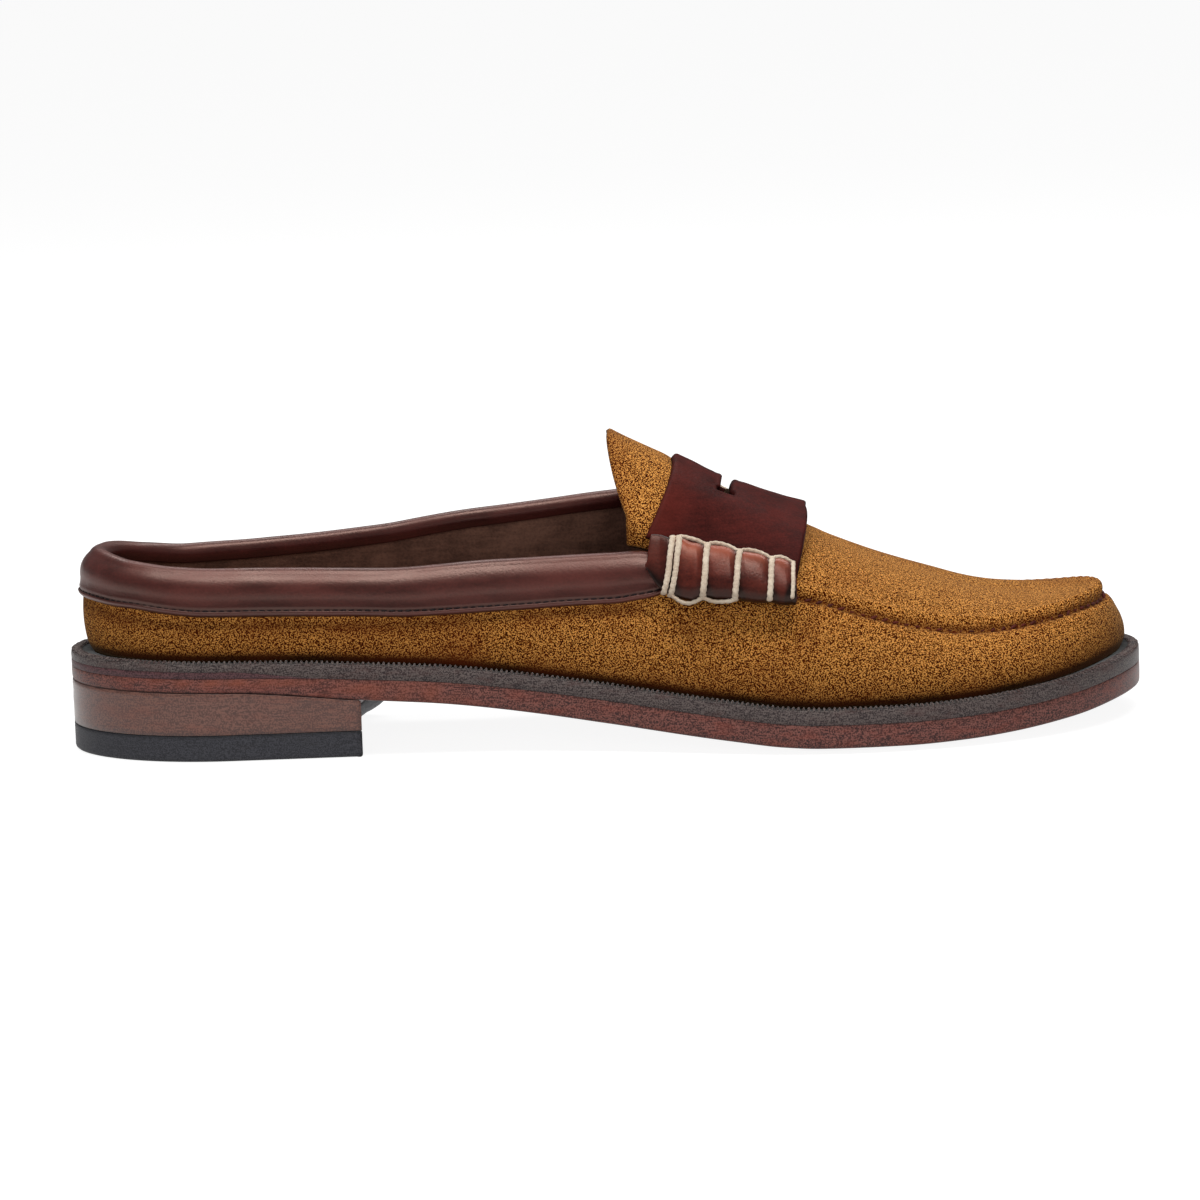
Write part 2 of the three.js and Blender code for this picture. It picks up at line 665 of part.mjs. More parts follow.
// Saddle: hugs the tongue at the back and stands off the apron at the front
function makeSaddle(wasm) {
  const sideRow = (side) => {
    const station = stationAt((SADDLE_BACK_SIDE + SADDLE_FRONT_SIDE) / 2);
    const foot = domePoint(side, station, 0);
    const crest = crestPoint(apronCrest(shareAt(station)));
    return SADDLE_FOOT / foot.distanceTo(crest);
  };
  const root = Math.max(sideRow('lateral'), sideRow('medial'));
  const shape = {
    backEdge: (climb) => mix(SADDLE_BACK_SIDE, SADDLE_BACK_CREST, easeToCrest(climb)),
    frontEdge: (climb) => mix(SADDLE_FRONT_SIDE, SADDLE_FRONT_CREST, easeToCrest(climb)),
    root: () => root,
    rows: [0, 0.12, 0.28, 0.48, 0.74, 1],
    steps: SHEET_STEPS,
  };
  const standOff = (climb, t) => SADDLE_STANDOFF * t ** 1.2 * easeToCrest(climb) ** 2;
  const underside = (climb, t) => 1.5 * CLEARANCE + standOff(climb, t);
  const thickness = (t) => SADDLE_THICKNESS - SADDLE_SKIVE * (1 - t) ** 3;
  const outer = instepSheet({ ...shape, lift: (climb, t) => underside(climb, t) + thickness(t) });
  const inner = instepSheet({ ...shape, lift: underside });
  return cut(wasm, bodyBetween(outer, inner), slotCutter());
}

// The coin slot: a narrow slit across the saddle with small flared ends
function slotCutter() {
  const slot = new THREE.Shape();
  const half = SLOT_WIDTH / 2;
  const flare = SLOT_FLARE / 2;
  const end = SLOT_LENGTH / 2;
  slot.moveTo(-half, -end + flare);
  slot.lineTo(-flare, -end);
  slot.lineTo(flare, -end);
  slot.lineTo(half, -end + flare);
  slot.lineTo(half, end - flare);
  slot.lineTo(flare, end);
  slot.lineTo(-flare, end);
  slot.lineTo(-half, end - flare);
  slot.closePath();
  const deep = INSTEP_RISE;
  const cutter = new THREE.ExtrudeGeometry(slot, { depth: deep, bevelEnabled: false });
  const crest = crestPoint(SLOT_PLACE);
  cutter.translate(crest.x, crest.y, crest.z - deep / 2);
  return cutter;
}

function toManifold(wasm, geometry) {
  const bare = geometry.clone();
  bare.deleteAttribute('normal');
  bare.deleteAttribute('uv');
  const merged = mergeVertices(bare, 1e-4);
  const mesh = new wasm.Mesh({
    numProp: 3,
    vertProperties: new Float32Array(merged.getAttribute('position').array),
    triVerts: new Uint32Array(merged.getIndex().array),
  });
  return new wasm.Manifold(mesh);
}

function cut(wasm, geometry, cutter) {
  const mesh = toManifold(wasm, geometry).subtract(toManifold(wasm, cutter)).getMesh();
  const result = new THREE.BufferGeometry();
  const positions = new THREE.BufferAttribute(new Float32Array(mesh.vertProperties), 3);
  result.setAttribute('position', positions);
  result.setIndex(Array.from(mesh.triVerts));
  result.computeVertexNormals();
  return result;
}

// Beef roll: the saddle's end rolled up along the seam, drawn in by each wrap of the thread
function makeBeefRoll(side) {
  const sections = [];
  const wrapGap = (ROLL_FRONT - ROLL_FIRST_WRAP) / (ROLL_WRAPS - 1);
  const places = [
    { at: ROLL_BACK, height: 0.3, depth: 0.16 },
    { at: ROLL_BACK + 0.3 * (ROLL_FIRST_WRAP - ROLL_BACK), height: 0.72, depth: 0.4 },
    { at: ROLL_BACK + 0.65 * (ROLL_FIRST_WRAP - ROLL_BACK), height: 0.95, depth: 0.72 },
  ];
  for (let i = 0; i < ROLL_WRAPS; i += 1) {
    const at = ROLL_FIRST_WRAP + i * wrapGap;
    places.push({ at, height: 1 - ROLL_PINCH, depth: 1 - ROLL_PINCH });
    if (i < ROLL_WRAPS - 1) {
      places.push({ at: at + 0.3 * wrapGap, height: 1, depth: 1 });
      places.push({ at: at + 0.7 * wrapGap, height: 1, depth: 1 });
    }
  }
  places.forEach(({ at, height, depth }) => {
    const station = stationAt(at);
    const foot = wallPoint(side, station, 1);
    const below = wallPoint(side, station, 0.85);
    const above = domePoint(side, station, 0.16);
    const up = above.sub(below).normalize();
    const onward = wallPoint(side, station + 0.01, 1).sub(foot).normalize();
    const outward = side === 'lateral' ? onward.cross(up) : up.clone().cross(onward);
    outward.normalize();
    const run = (at - ROLL_BACK) / (ROLL_FRONT - ROLL_BACK);
    const scale = 1 - ROLL_TAPER * run;
    const halfHeight = (ROLL_HEIGHT / 2) * height * scale;
    const halfDepth = (ROLL_DEPTH / 2) * depth * scale;
    const standOff = SADDLE_THICKNESS + 2 * CLEARANCE + halfDepth;
    const centre = foot.addScaledVector(outward, standOff);
    centre.addScaledVector(up, ROLL_BACK_LIFT * (1 - run));
    sections.push(Array.from({ length: ROLL_SIDES }, (_, k) => {
      const angle = (2 * Math.PI * k) / ROLL_SIDES;
      return centre.clone()
        .addScaledVector(outward, halfDepth * Math.cos(angle))
        .addScaledVector(up, halfHeight * Math.sin(angle));
    }));
  });
  return loftSections(sections, side === 'lateral');
}

function loftSections(sections, clockwise) {
  const corners = [];
  const last = sections.length - 1;
  for (let i = 1; i <= last; i += 1) bandBetween(corners, sections[i - 1], sections[i]);
  const fan = (ring, facingBack) => {
    for (let k = 1; k < ring.length - 1; k += 1) {
      const face = [ring[0], ring[k], ring[k + 1]];
      corners.push(...(facingBack ? face.reverse() : face));
    }
  };
  fan(sections[0], true);
  fan(sections[last], false);
  if (clockwise) corners.reverse();
  return geometryFrom(corners);
}

// Collar binding: a leather strip folded over the topline from one beef roll to the other
function makeBinding() {
  const halfWall = WALL / 2;
  const near = halfWall + CLEARANCE;
  const far = near + BINDING_THICKNESS;
  const path = [];
  const endStation = stationAt(BINDING_END);
  const stations = [...spread(STATIONS).filter((t) => t < endStation), endStation];
  stations.slice().reverse().forEach((station) => path.push({ side: 'medial', station }));
  stations.slice(1).forEach((station) => path.push({ side: 'lateral', station }));
  const frames = path.map(({ side, station }) => {
    const top = wallPoint(side, station, 1);
    const lower = wallPoint(side, station, 0.96);
    const up = top.clone().sub(lower).normalize();
    const towards = station > 0.5 ? -0.01 : 0.01;
    const onward = wallPoint(side, station + towards, 1).sub(top);
    if (towards < 0) onward.negate();
    const outward = side === 'lateral' ? onward.cross(up) : up.clone().cross(onward);
    outward.normalize();
    const point = (row, reach) => {
      const here = wallPoint(side, station, row);
      return here.addScaledVector(outward, reach - halfWall);
    };
    const rise = wallRise[side](shareAt(station));
    return { top, up, outward, point, rise };
  });
  const foldAngles = [0, 45, 90, 135, 180].map((degrees) => THREE.MathUtils.degToRad(degrees));
  const strip = (reach, overlap) => frames.map(({ top, up, outward, point, rise }) => {
    const rowAt = (depth) => Math.max(0.02, 1 - depth / rise);
    const centre = top.clone().addScaledVector(outward, -halfWall);
    const outside = [1, 0.7, 0.4, 0.15].map((share) => {
      return point(rowAt(BINDING_DEPTH * share), reach + overlap * Math.sin(Math.PI * share));
    });
    const fold = foldAngles.map((angle) => centre.clone()
      .addScaledVector(outward, reach * Math.cos(angle))
      .addScaledVector(up, reach * Math.sin(angle)));
    const inside = [0.4, 1].map((share) => point(rowAt(BINDING_INSIDE * share), -reach));
    return [...outside, ...fold, ...inside];
  });
  return bodyBetween(strip(far, BINDING_PADDING), strip(near, 0));
}

const SUEDE = { color: 0x8f5f26, roughness: 0.95, metalness: 0 };
const BURGUNDY = { color: 0x5c2a2b, roughness: 0.42, metalness: 0 };
const INSOLE_LEATHER = { color: 0x4a3d31, roughness: 0.8, metalness: 0 };
const WELT_LEATHER = { color: 0x4c4344, roughness: 0.6, metalness: 0 };
const RAND_LEATHER = { color: 0x563a42, roughness: 0.55, metalness: 0 };
const SOLE_LEATHER = { color: 0x6f4038, roughness: 0.55, metalness: 0 };
const STACK_LEATHER = { color: 0x6d463c, roughness: 0.5, metalness: 0 };
const LIFT_RUBBER = { color: 0x3a393f, roughness: 0.7, metalness: 0 };

const wasm = await Module();
wasm.setup();

const shoe = new THREE.Group();
const addPiece = (name, geometry, finish) => {
  const mesh = new THREE.Mesh(geometry, new THREE.MeshStandardMaterial(finish));
  mesh.name = name;
  shoe.add(mesh);
};

addPiece('outsole', makeOutsole(), SOLE_LEATHER);
addPiece('welt', makeWelt(), WELT_LEATHER);
addPiece('heel_rand', makeHeelRand(), RAND_LEATHER);
addPiece('heel_stack', makeHeelStack(), STACK_LEATHER);
addPiece('top_lift', makeTopLift(), LIFT_RUBBER);
addPiece('insole', makeInsole(), INSOLE_LEATHER);
addPiece('upper', makeUpper(), SUEDE);
addPiece('tongue', makeTongue(), SUEDE);
addPiece('saddle', makeSaddle(wasm), BURGUNDY);
addPiece('beef_roll_lateral', makeBeefRoll('lateral'), BURGUNDY);
addPiece('beef_roll_medial', makeBeefRoll('medial'), BURGUNDY);
addPiece('collar_binding', makeBinding(), BURGUNDY);

// The origin lies under the middle of the shoe, on the floor
const bounds = new THREE.Box3().setFromObject(shoe, true);
const middle = bounds.getCenter(new THREE.Vector3());
shoe.position.set(-middle.x, -middle.y, -bounds.min.z);

export default shoe;
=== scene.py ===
# Looks of a low-backed penny loafer: each piece is worked out from the shoe's sizes, finer than its solid.
import bpy
import bmesh
import math
import numpy as np
from mathutils import Matrix, Vector


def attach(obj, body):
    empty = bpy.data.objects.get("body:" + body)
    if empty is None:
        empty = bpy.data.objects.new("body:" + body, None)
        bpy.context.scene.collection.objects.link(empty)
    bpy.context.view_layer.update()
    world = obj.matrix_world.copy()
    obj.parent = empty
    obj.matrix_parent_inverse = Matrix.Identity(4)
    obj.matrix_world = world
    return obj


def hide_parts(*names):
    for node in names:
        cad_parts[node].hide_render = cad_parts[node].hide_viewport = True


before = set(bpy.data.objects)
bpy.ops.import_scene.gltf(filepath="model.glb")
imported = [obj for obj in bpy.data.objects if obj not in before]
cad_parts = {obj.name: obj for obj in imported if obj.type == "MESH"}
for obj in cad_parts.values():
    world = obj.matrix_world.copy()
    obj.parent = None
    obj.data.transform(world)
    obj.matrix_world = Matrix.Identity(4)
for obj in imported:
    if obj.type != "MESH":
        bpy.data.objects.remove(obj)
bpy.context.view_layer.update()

# Sizes are in millimetres: x from the back of the heel, y across (outer side negative), z from the floor.
# Places along the shoe are shares of its length, and places round it are ways: 0 at the heel, 1 at the toe by
# the outer side, 2 back at the heel by the inner side.
MM = 0.001
LENGTH = 298.0
BALL_WIDTH = 106.0
HEEL_WIDTH = 66.4
TOE_LEAN = 9.0
HEEL_ROUND = 0.15
TOE_ROUND = 0.285
MIDDLE = np.array([LENGTH / 2, 0.992, 0.0])

# Bottom
HEEL_HEIGHT = 19.4
TOE_SPRING = 6.2
TREAD_CAMBER = 1.3
TREAD_CURVE = 1.84
TREAD_FLAT_INSET = 18.0
CHANNEL_INSET = 5.2
CHANNEL_DEPTH = 0.35
OUTSOLE_THICKNESS = 6.3
WELT_THICKNESS = 4.0
WELT_REVEAL = 4.3
WELT_EASE = 0.5
EDGE_ROUND = 0.9
RAND_THICKNESS = 1.9
RAND_END = 0.24
TOP_LIFT_THICKNESS = 7.2
BREAST_LATERAL = 81.4
BREAST_MEDIAL = 86.0
CORNER_CUT = 6.5
CORNER_CUT_HEIGHT = 5.0
CORNER_CUT_CURVE = 1.6
BREAST_HOLLOW = 5.0
BREAST_ROUNDNESS = 0.8
INSOLE_ABOVE_WELT = 1.8
CLEARANCE = 0.3

# Upper
WALL = 2.0
SUEDE_THICKNESS = 1.15
LINING_THICKNESS = 0.6
LINING_DEPTH = 1.25
INSTEP_RISE = 65.0
COLLAR_RISE = 26.0
COLLAR_LEAN = 7.0
TOE_RISE = 15.5
SEAM_INSET = 14.5
SEAM_STEP = 3.6
SEAM_ROUND = 1.1
SEAM_SOFTENING = 0.7
SOFT_SEAM_ROUND = 2.6
PUCKER_PITCH = 3.1
WALL_BULGE = 1.6
APRON_BACK = 0.63

# Tongue
TONGUE_TIP = 0.51
TONGUE_FOOT = 0.521
TONGUE_TUCK = 5.0
TONGUE_CORNER_DROP = 3.2
TONGUE_ROOT_BACK = 0.2
TONGUE_ROOT_FRONT = 0.1
TONGUE_THICKNESS = 2.0
TONGUE_EDGE_ROUND = 0.9

# Saddle; its slot runs between two places over the strap, from 0 at the outer foot to 2 at the inner one
SADDLE_BACK_CREST = 0.568
SADDLE_BACK_SIDE = 0.536
SADDLE_FRONT_CREST = 0.688
SADDLE_FRONT_SIDE = 0.67
SADDLE_THICKNESS = 2.4
SADDLE_SKIVE = 0.6
SADDLE_STANDOFF = 3.8
SADDLE_EDGE_ROUND = 1.1
SADDLE_ROOT = 0.085
SLOT_WIDTH = 3.0
SLOT_FLARE = 5.5
SLOT_PLACE = 0.6175
SLOT_SET_BACK = 1.2
SLOT_NEAR = 0.62
SLOT_FAR = 1.55

# Beef rolls
FLAP_BACK = 0.5312
ROLL_FRONT = 0.664
WRAP_PLACES = np.array([0.549, 0.5812, 0.6117, 0.6412, 0.6618])
WRAP_WIDTH = 1.35
ROLL_SQUARENESS = 0.78

# Collar binding
BINDING_DEPTH = 12.5
BINDING_THICKNESS = 1.4
BINDING_NEAR = WALL / 2 + CLEARANCE
BINDING_FAR = BINDING_NEAR + BINDING_THICKNESS
BINDING_END = 0.531
BINDING_RUN_ON = 0.552
BINDING_LEG = 1.2
BINDING_STITCH_RISE = 1.35


# Curves along the shoe
def curve(at, values):
    """Smooth curve through values, level at both ends and without overshoot."""
    at = np.array(at, float)
    values = np.array(values, float)
    steps = np.diff(values) / np.diff(at)
    slopes = np.zeros(len(values))
    for i in range(1, len(values) - 1):
        if steps[i - 1] * steps[i] > 0:
            slopes[i] = 2 * steps[i - 1] * steps[i] / (steps[i - 1] + steps[i])

    def read(x):
        x = np.clip(np.asarray(x, float), at[0], at[-1])
        i = np.clip(np.searchsorted(at, x, side="right") - 1, 0, len(at) - 2)
        span = at[i + 1] - at[i]
        t = (x - at[i]) / span
        ends = (1 + 2 * t) * (1 - t) ** 2 * values[i] + t * t * (3 - 2 * t) * values[i + 1]
        pulls = t * (1 - t) ** 2 * slopes[i] + t * t * (t - 1) * slopes[i + 1]
        return ends + pulls * span
    return read


PLAN_AT = [0.15, 0.3, 0.4, 0.5, 0.6, 0.66, 0.715]
plan_lateral = curve(PLAN_AT, [0, -0.02, 0.015, 0.26, 0.66, 0.87, 0.95])
plan_medial = curve(PLAN_AT, [0, -0.11, -0.27, -0.09, 0.52, 0.86, 1.05])

BOTTOM_AT = [0, 0.15, 0.28, 0.35, 0.44, 0.5, 0.57, 0.62, 0.66, 0.69, 0.77, 0.82, 0.87, 0.93, 1]
heel_share = curve(BOTTOM_AT, [1, 0.975, 0.8, 0.71, 0.515, 0.365, 0.19, 0.085, 0.02, 0, 0, 0, 0, 0, 0])
toe_share = curve(BOTTOM_AT, [0, 0, 0, 0, 0, 0, 0, 0, 0, 0, 0, 0.06, 0.2, 0.52, 1])
camber_share = curve(BOTTOM_AT, [0, 0, 0, 0.05, 0.25, 0.5, 0.85, 1, 1, 1, 1, 1, 1, 0.8, 0.4])
thickness_share = curve(BOTTOM_AT, [0.6, 0.62, 0.9, 0.94, 0.97, 1, 1, 1, 1, 1, 1, 1, 1, 1, 1])

WALL_AT = [0, 0.15, 0.3, 0.45, 0.6, 0.75, 0.9, 1]
reveal_share = curve(WALL_AT, [1.15, 0.8, 0.62, 0.62, 0.8, 0.95, 0.95, 0.92])
bulge_share = curve(WALL_AT, [0.7, 0.8, 0.6, 0.6, 0.9, 1, 0.8, 0.2])
lean_power = curve(WALL_AT, [4, 3.6, 3, 2.6, 2.3, 2.2, 2.6, 2.3])

TOP_AT = [0, 0.05, 0.1, 0.15, 0.2, 0.3, 0.4, 0.5, 0.53,
          0.57, 0.6, 0.65, 0.69, 0.73, 0.77, 0.82, 0.86, 0.91, 0.955, 1]
RISE_LATERAL = [1, 0.93, 0.89, 0.88, 0.88, 0.9, 1.055, 1.26, 1.32,
                1.92, 1.89, 1.86, 1.75, 1.54, 1.342, 1.125, 1.01, 0.955, 0.942, 0.89]
RISE_MEDIAL = [1, 0.92, 0.86, 0.875, 0.92, 1.09, 1.365, 1.625, 1.685,
               2.4, 2.25, 2.08, 1.92, 1.67, 1.445, 1.18, 1, 0.92, 0.91, 0.89]
LEAN_LATERAL = [1.15, 1.08, 1, 0.96, 0.94, 0.94, 1, 1.16, 1.3,
                0.73, 0.83, 0.92, 0.97, 1, 1.02, 1, 0.93, 0.83, 0.69, 0.63]
LEAN_MEDIAL = [1.15, 1.08, 1, 0.96, 0.94, 0.98, 1.02, 1.15, 1.25,
               0.72, 0.8, 0.86, 0.9, 0.93, 0.93, 0.9, 0.86, 0.79, 0.69, 0.63]
COLLAR_ROWS = 9


def top_curve(shares, collar_size, seam_size):
    sizes = [collar_size] * COLLAR_ROWS + [seam_size] * (len(TOP_AT) - COLLAR_ROWS)
    return curve(TOP_AT, np.array(shares) * np.array(sizes))


rise_lateral = top_curve(RISE_LATERAL, COLLAR_RISE, TOE_RISE)
rise_medial = top_curve(RISE_MEDIAL, COLLAR_RISE, TOE_RISE)
lean_lateral = top_curve(LEAN_LATERAL, COLLAR_LEAN, SEAM_INSET)
lean_medial = top_curve(LEAN_MEDIAL, COLLAR_LEAN, SEAM_INSET)

CREST_AT = [0.45, 0.5, 0.55, 0.6, 0.65, 0.7, 0.75, 0.8, 0.85, 0.9, 0.95]
crest_share = curve(CREST_AT, [1.12, 1.03, 0.93, 0.823, 0.72, 0.617, 0.517, 0.433, 0.345, 0.299, 0.295])
crest_lean = curve(CREST_AT, [0.1, 0.14, 0.18, 0.22, 0.28, 0.36, 0.48, 0.62, 0.8, 0.95, 1])
APRON_AT = [0.4, 0.5, 0.6, 0.7, 0.8, 0.9, 1]
apron_crest = curve(APRON_AT, [0.4, 0.5, 0.598, 0.692, 0.776, 0.85, 0.905])
apron_step = curve(APRON_AT, [0.1, 0.2, 0.35, 0.7, 0.95, 1, 1.15])


def tread_z(at):
    return HEEL_HEIGHT * heel_share(at) + TOE_SPRING * toe_share(at)


def edge_z(at):
    return tread_z(at) + TREAD_CAMBER * camber_share(at)


def outsole_top_z(at):
    return edge_z(at) + OUTSOLE_THICKNESS * thickness_share(at)


def welt_top_z(at):
    return outsole_top_z(at) + CLEARANCE + WELT_THICKNESS


# The way round the shoe: 0 at the heel, 1 at the toe by the outer side, 2 back at the heel by the inner side
def station(way):
    return 1 - np.abs(1 - np.mod(way, 2))


def share(way):
    return (1 - np.cos(np.pi * station(way))) / 2


def way_of(at, inner=False):
    """Way of a share of the length, on the outer or the inner side."""
    way = np.arccos(1 - 2 * np.asarray(at, float)) / np.pi
    return np.where(inner, 2 - way, way)


def by_side(outer, inner, way):
    return np.where(np.mod(way, 2) > 1, inner(share(way)), outer(share(way)))


def outline(way):
    at = share(way)
    sign = np.where(np.mod(way, 2) > 1, 1.0, -1.0)
    heel, ball = HEEL_WIDTH / 2, BALL_WIDTH / 2

    def width(where):
        plan = np.where(sign > 0, plan_medial(where), plan_lateral(where))
        return sign * (heel + (ball - heel) * plan)

    y_heel = width(HEEL_ROUND) * quarter_round(at / HEEL_ROUND)
    y_toe = TOE_LEAN + (width(1 - TOE_ROUND) - TOE_LEAN) * quarter_round((1 - at) / TOE_ROUND)
    y = np.where(at < HEEL_ROUND, y_heel, np.where(at > 1 - TOE_ROUND, y_toe, width(at)))
    return np.stack([LENGTH * at, y], -1)


def inward_of(way, reach=0.004):
    along = outline(way + reach) - outline(way - reach)
    along /= np.linalg.norm(along, axis=-1, keepdims=True)
    return np.stack([-along[..., 1], along[..., 0]], -1)


def inset(way, depth):
    return outline(way) + inward_of(way) * np.asarray(depth)[..., None]


def raised(flat, z):
    return np.concatenate([flat, np.broadcast_to(z, flat.shape[:-1])[..., None]], -1)


def wall_point(way, row):
    at = share(way)
    foot = WELT_REVEAL * reveal_share(at)
    lean = by_side(lean_lateral, lean_medial, way) - foot
    bulge = WALL_BULGE * bulge_share(at) * np.sin(np.pi * row)
    flat = inset(way, foot + lean * row ** lean_power(at) - bulge)
    return raised(flat, welt_top_z(at) + CLEARANCE + by_side(rise_lateral, rise_medial, way) * row)


def crest_point(at):
    z = welt_top_z(at) + INSTEP_RISE * crest_share(at)
    return np.stack([LENGTH * at, TOE_LEAN * crest_lean(at), z], -1)


def dome_point(way, row):
    at = share(way)
    foot = wall_point(way, np.ones_like(at))
    crest = crest_point(apron_crest(at))
    step = SEAM_STEP * apron_step(at)
    reach = np.linalg.norm((crest - foot)[..., :2], axis=-1) * row
    point = foot + (crest - foot) * row[..., None]
    dome = (crest[..., 2] - foot[..., 2] - step) * (1 - (1 - row) ** 2)
    point[..., 2] = foot[..., 2] + step * (1 - np.exp(-reach / SEAM_ROUND)) + dome
    return point


def unit(vectors):
    return vectors / np.maximum(np.linalg.norm(vectors, axis=-1, keepdims=True), 1e-12)


def grid_normals(points, closed=False):
    """Normals of a grid whose first axis runs along and whose second runs up or over."""
    if closed:
        along = np.roll(points, -1, axis=0) - np.roll(points, 1, axis=0)
    else:
        along = np.gradient(points, axis=0)
    return unit(np.cross(along, np.gradient(points, axis=1)))


def ripple(*coordinates, seed=0, terms=9):
    """A smooth irregular wave between about -1 and 1."""
    rng = np.random.default_rng(seed)
    total = np.zeros(np.broadcast(*coordinates).shape)
    for _ in range(terms):
        phase = rng.uniform(0, 2 * np.pi)
        for c in coordinates:
            phase = phase + c * rng.normal(0, 1)
        total = total + np.sin(phase)
    return total / math.sqrt(terms)


def near(distance, width):
    return np.exp(-(distance / width) ** 2)


def band(value, middle, width, strength=1.0):
    """A strength at a middle, fading softly over a width on both sides of it."""
    return strength * near(value - middle, width)


def ramp(value, start, length):
    """0 up to a start, rising evenly to 1 over a length."""
    return np.clip((value - start) / length, 0, 1)


def quarter_round(t):
    """Height of a quarter circle of radius 1, from 0 at t = 0 to 1 from t = 1 on."""
    return np.sqrt(np.clip(1 - (1 - np.clip(t, 0, 1)) ** 2, 0, 1))


def mix(a, b, t):
    return a + (b - a) * t


# Making meshes
MERGE_DISTANCE = 2e-6
SMALLEST_EDGE = 1e-7


def put_in_scene(name, data):
    thing = bpy.data.objects.new(name, data)
    bpy.context.scene.collection.objects.link(thing)
    return thing


def in_frame(points):
    """Points in millimetres as places in the frame, in metres."""
    return ((np.asarray(points, float).reshape(-1, 3) - MIDDLE) * MM).tolist()


def make_piece(name, points, faces, finish, replaces=None, marks=None, wall=0.0):
    """A closed piece from points in millimetres; marks are values kept on its points for its finish."""
    mesh = bpy.data.meshes.new(name)
    mesh.from_pydata(in_frame(points), [], [list(map(int, face)) for face in faces])
    for mark, values in (marks or {}).items():
        layer = mesh.attributes.new(mark, "FLOAT", "POINT")
        layer.data.foreach_set("value", np.asarray(values, np.float32).ravel())
    bm = bmesh.new()
    bm.from_mesh(mesh)
    bmesh.ops.remove_doubles(bm, verts=bm.verts, dist=MERGE_DISTANCE)
    bmesh.ops.dissolve_degenerate(bm, edges=bm.edges, dist=SMALLEST_EDGE)
    if not wall and bm.calc_volume(signed=True) < 0:
        bmesh.ops.reverse_faces(bm, faces=bm.faces)
    bm.to_mesh(mesh)
    bm.free()
    piece = put_in_scene(name, mesh)
    if wall:
        solid = piece.modifiers.new("wall", "SOLIDIFY")
        solid.thickness = wall * MM
        solid.offset = -1
        solid.use_even_offset = False
        settle(piece)
    finish_piece(piece, finish, replaces)


def settle(piece):
    """Turns a piece and its modifiers into a plain mesh."""
    graph = bpy.context.evaluated_depsgraph_get()
    made = bpy.data.meshes.new_from_object(piece.evaluated_get(graph))
    made.name = piece.name
    piece.modifiers.clear()
    piece.data = made


def finish_piece(piece, finish, replaces=None):
    mesh = piece.data
    mesh.materials.clear()
    mesh.materials.append(finish)
    mesh.polygons.foreach_set("material_index", [0] * len(mesh.polygons))
    mesh.polygons.foreach_set("use_smooth", [True] * len(mesh.polygons))
    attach(piece, "root")
    if replaces:
        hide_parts(replaces)


def numbered(shape, first=0):
    return np.arange(first, first + shape[0] * shape[1]).reshape(shape[:2])


def grid_faces(index, round_along=False, round_over=False):
    """Four-sided faces of a grid of point numbers, closed round either axis where asked."""
    if round_along:
        index = np.concatenate([index, index[:1]])
    if round_over:
        index = np.concatenate([index, index[:, :1]], axis=1)
    faces = np.stack([index[:-1, :-1], index[1:, :-1], index[1:, 1:], index[:-1, 1:]], -1)
    return faces.reshape(-1, 4).tolist()


def swept(sections, closed):
    """Faces round closed sections, joined one to the next; the ends are capped when the way is open."""
    index = numbered(sections.shape)
    faces = grid_faces(index, round_along=closed, round_over=True)
    if not closed:
        faces += [index[0].tolist(), index[-1][::-1].tolist()]
    return faces


def stacked(rings):
    """Faces of a body between rings one above the other, with a flat face at its bottom and top."""
    index = numbered(rings.shape)
    return grid_faces(index.T, round_along=True) + [index[0][::-1].tolist(), index[-1].tolist()]


def plate(rings):
    """Faces of a body between rings round the sole, filled across at its bottom and top."""
    index = numbered(rings.shape)
    faces = grid_faces(index.T, round_along=True)
    count = index.shape[1]
    for i in range(count // 2):
        strip = [i, i + 1, (count - i - 1) % count, (count - i) % count]
        faces += [index[0][strip[::-1]].tolist(), index[-1][strip].tolist()]
    return faces


def ring_ways(count):
    return np.arange(count) * 2 / count


def sole_rings(ways, profile):
    """Rings round the sole from pairs of inset and height functions of the share along it."""
    at = share(ways)
    return np.stack([raised(inset(ways, depth(at)), height(at)) for depth, height in profile])


def flat_inset(depth):
    return lambda at: np.full_like(at, depth)


def by_level(values, shape):
    """One value for each level of a grid whose first axis is the level."""
    return np.broadcast_to(np.array(values, float)[:, None], shape[:2])


# Finishes: shader groups shared by several materials
WHITE = (1.0, 1.0, 1.0, 1.0)
GROUP_OUTPUTS = (("Color", "NodeSocketColor"), ("Height", "NodeSocketFloat"), ("Rough", "NodeSocketFloat"))


def new_group(name, sizes, colours):
    """A shader group that takes coordinates, sizes and colours; returns it with its inputs by name."""
    group = bpy.data.node_groups.new(name, "ShaderNodeTree")
    face = group.interface
    face.new_socket("Vector", in_out="INPUT", socket_type="NodeSocketVector")
    for label, value in sizes.items():
        face.new_socket(label, in_out="INPUT", socket_type="NodeSocketFloat").default_value = value
    for label in colours:
        face.new_socket(label, in_out="INPUT", socket_type="NodeSocketColor")
    for label, kind in GROUP_OUTPUTS:
        face.new_socket(label, in_out="OUTPUT", socket_type=kind)
    return group, group.nodes.new("NodeGroupInput").outputs


def close_group(group, colour, height, rough):
    made = group.nodes.new("NodeGroupOutput")
    for (label, _), value in zip(GROUP_OUTPUTS, (colour, height, rough)):
        group.links.new(value, made.inputs[label])
    return group


def link_value(tree, socket, value):
    if isinstance(value, bpy.types.NodeSocket):
        tree.links.new(value, socket)
    else:
        socket.default_value = value


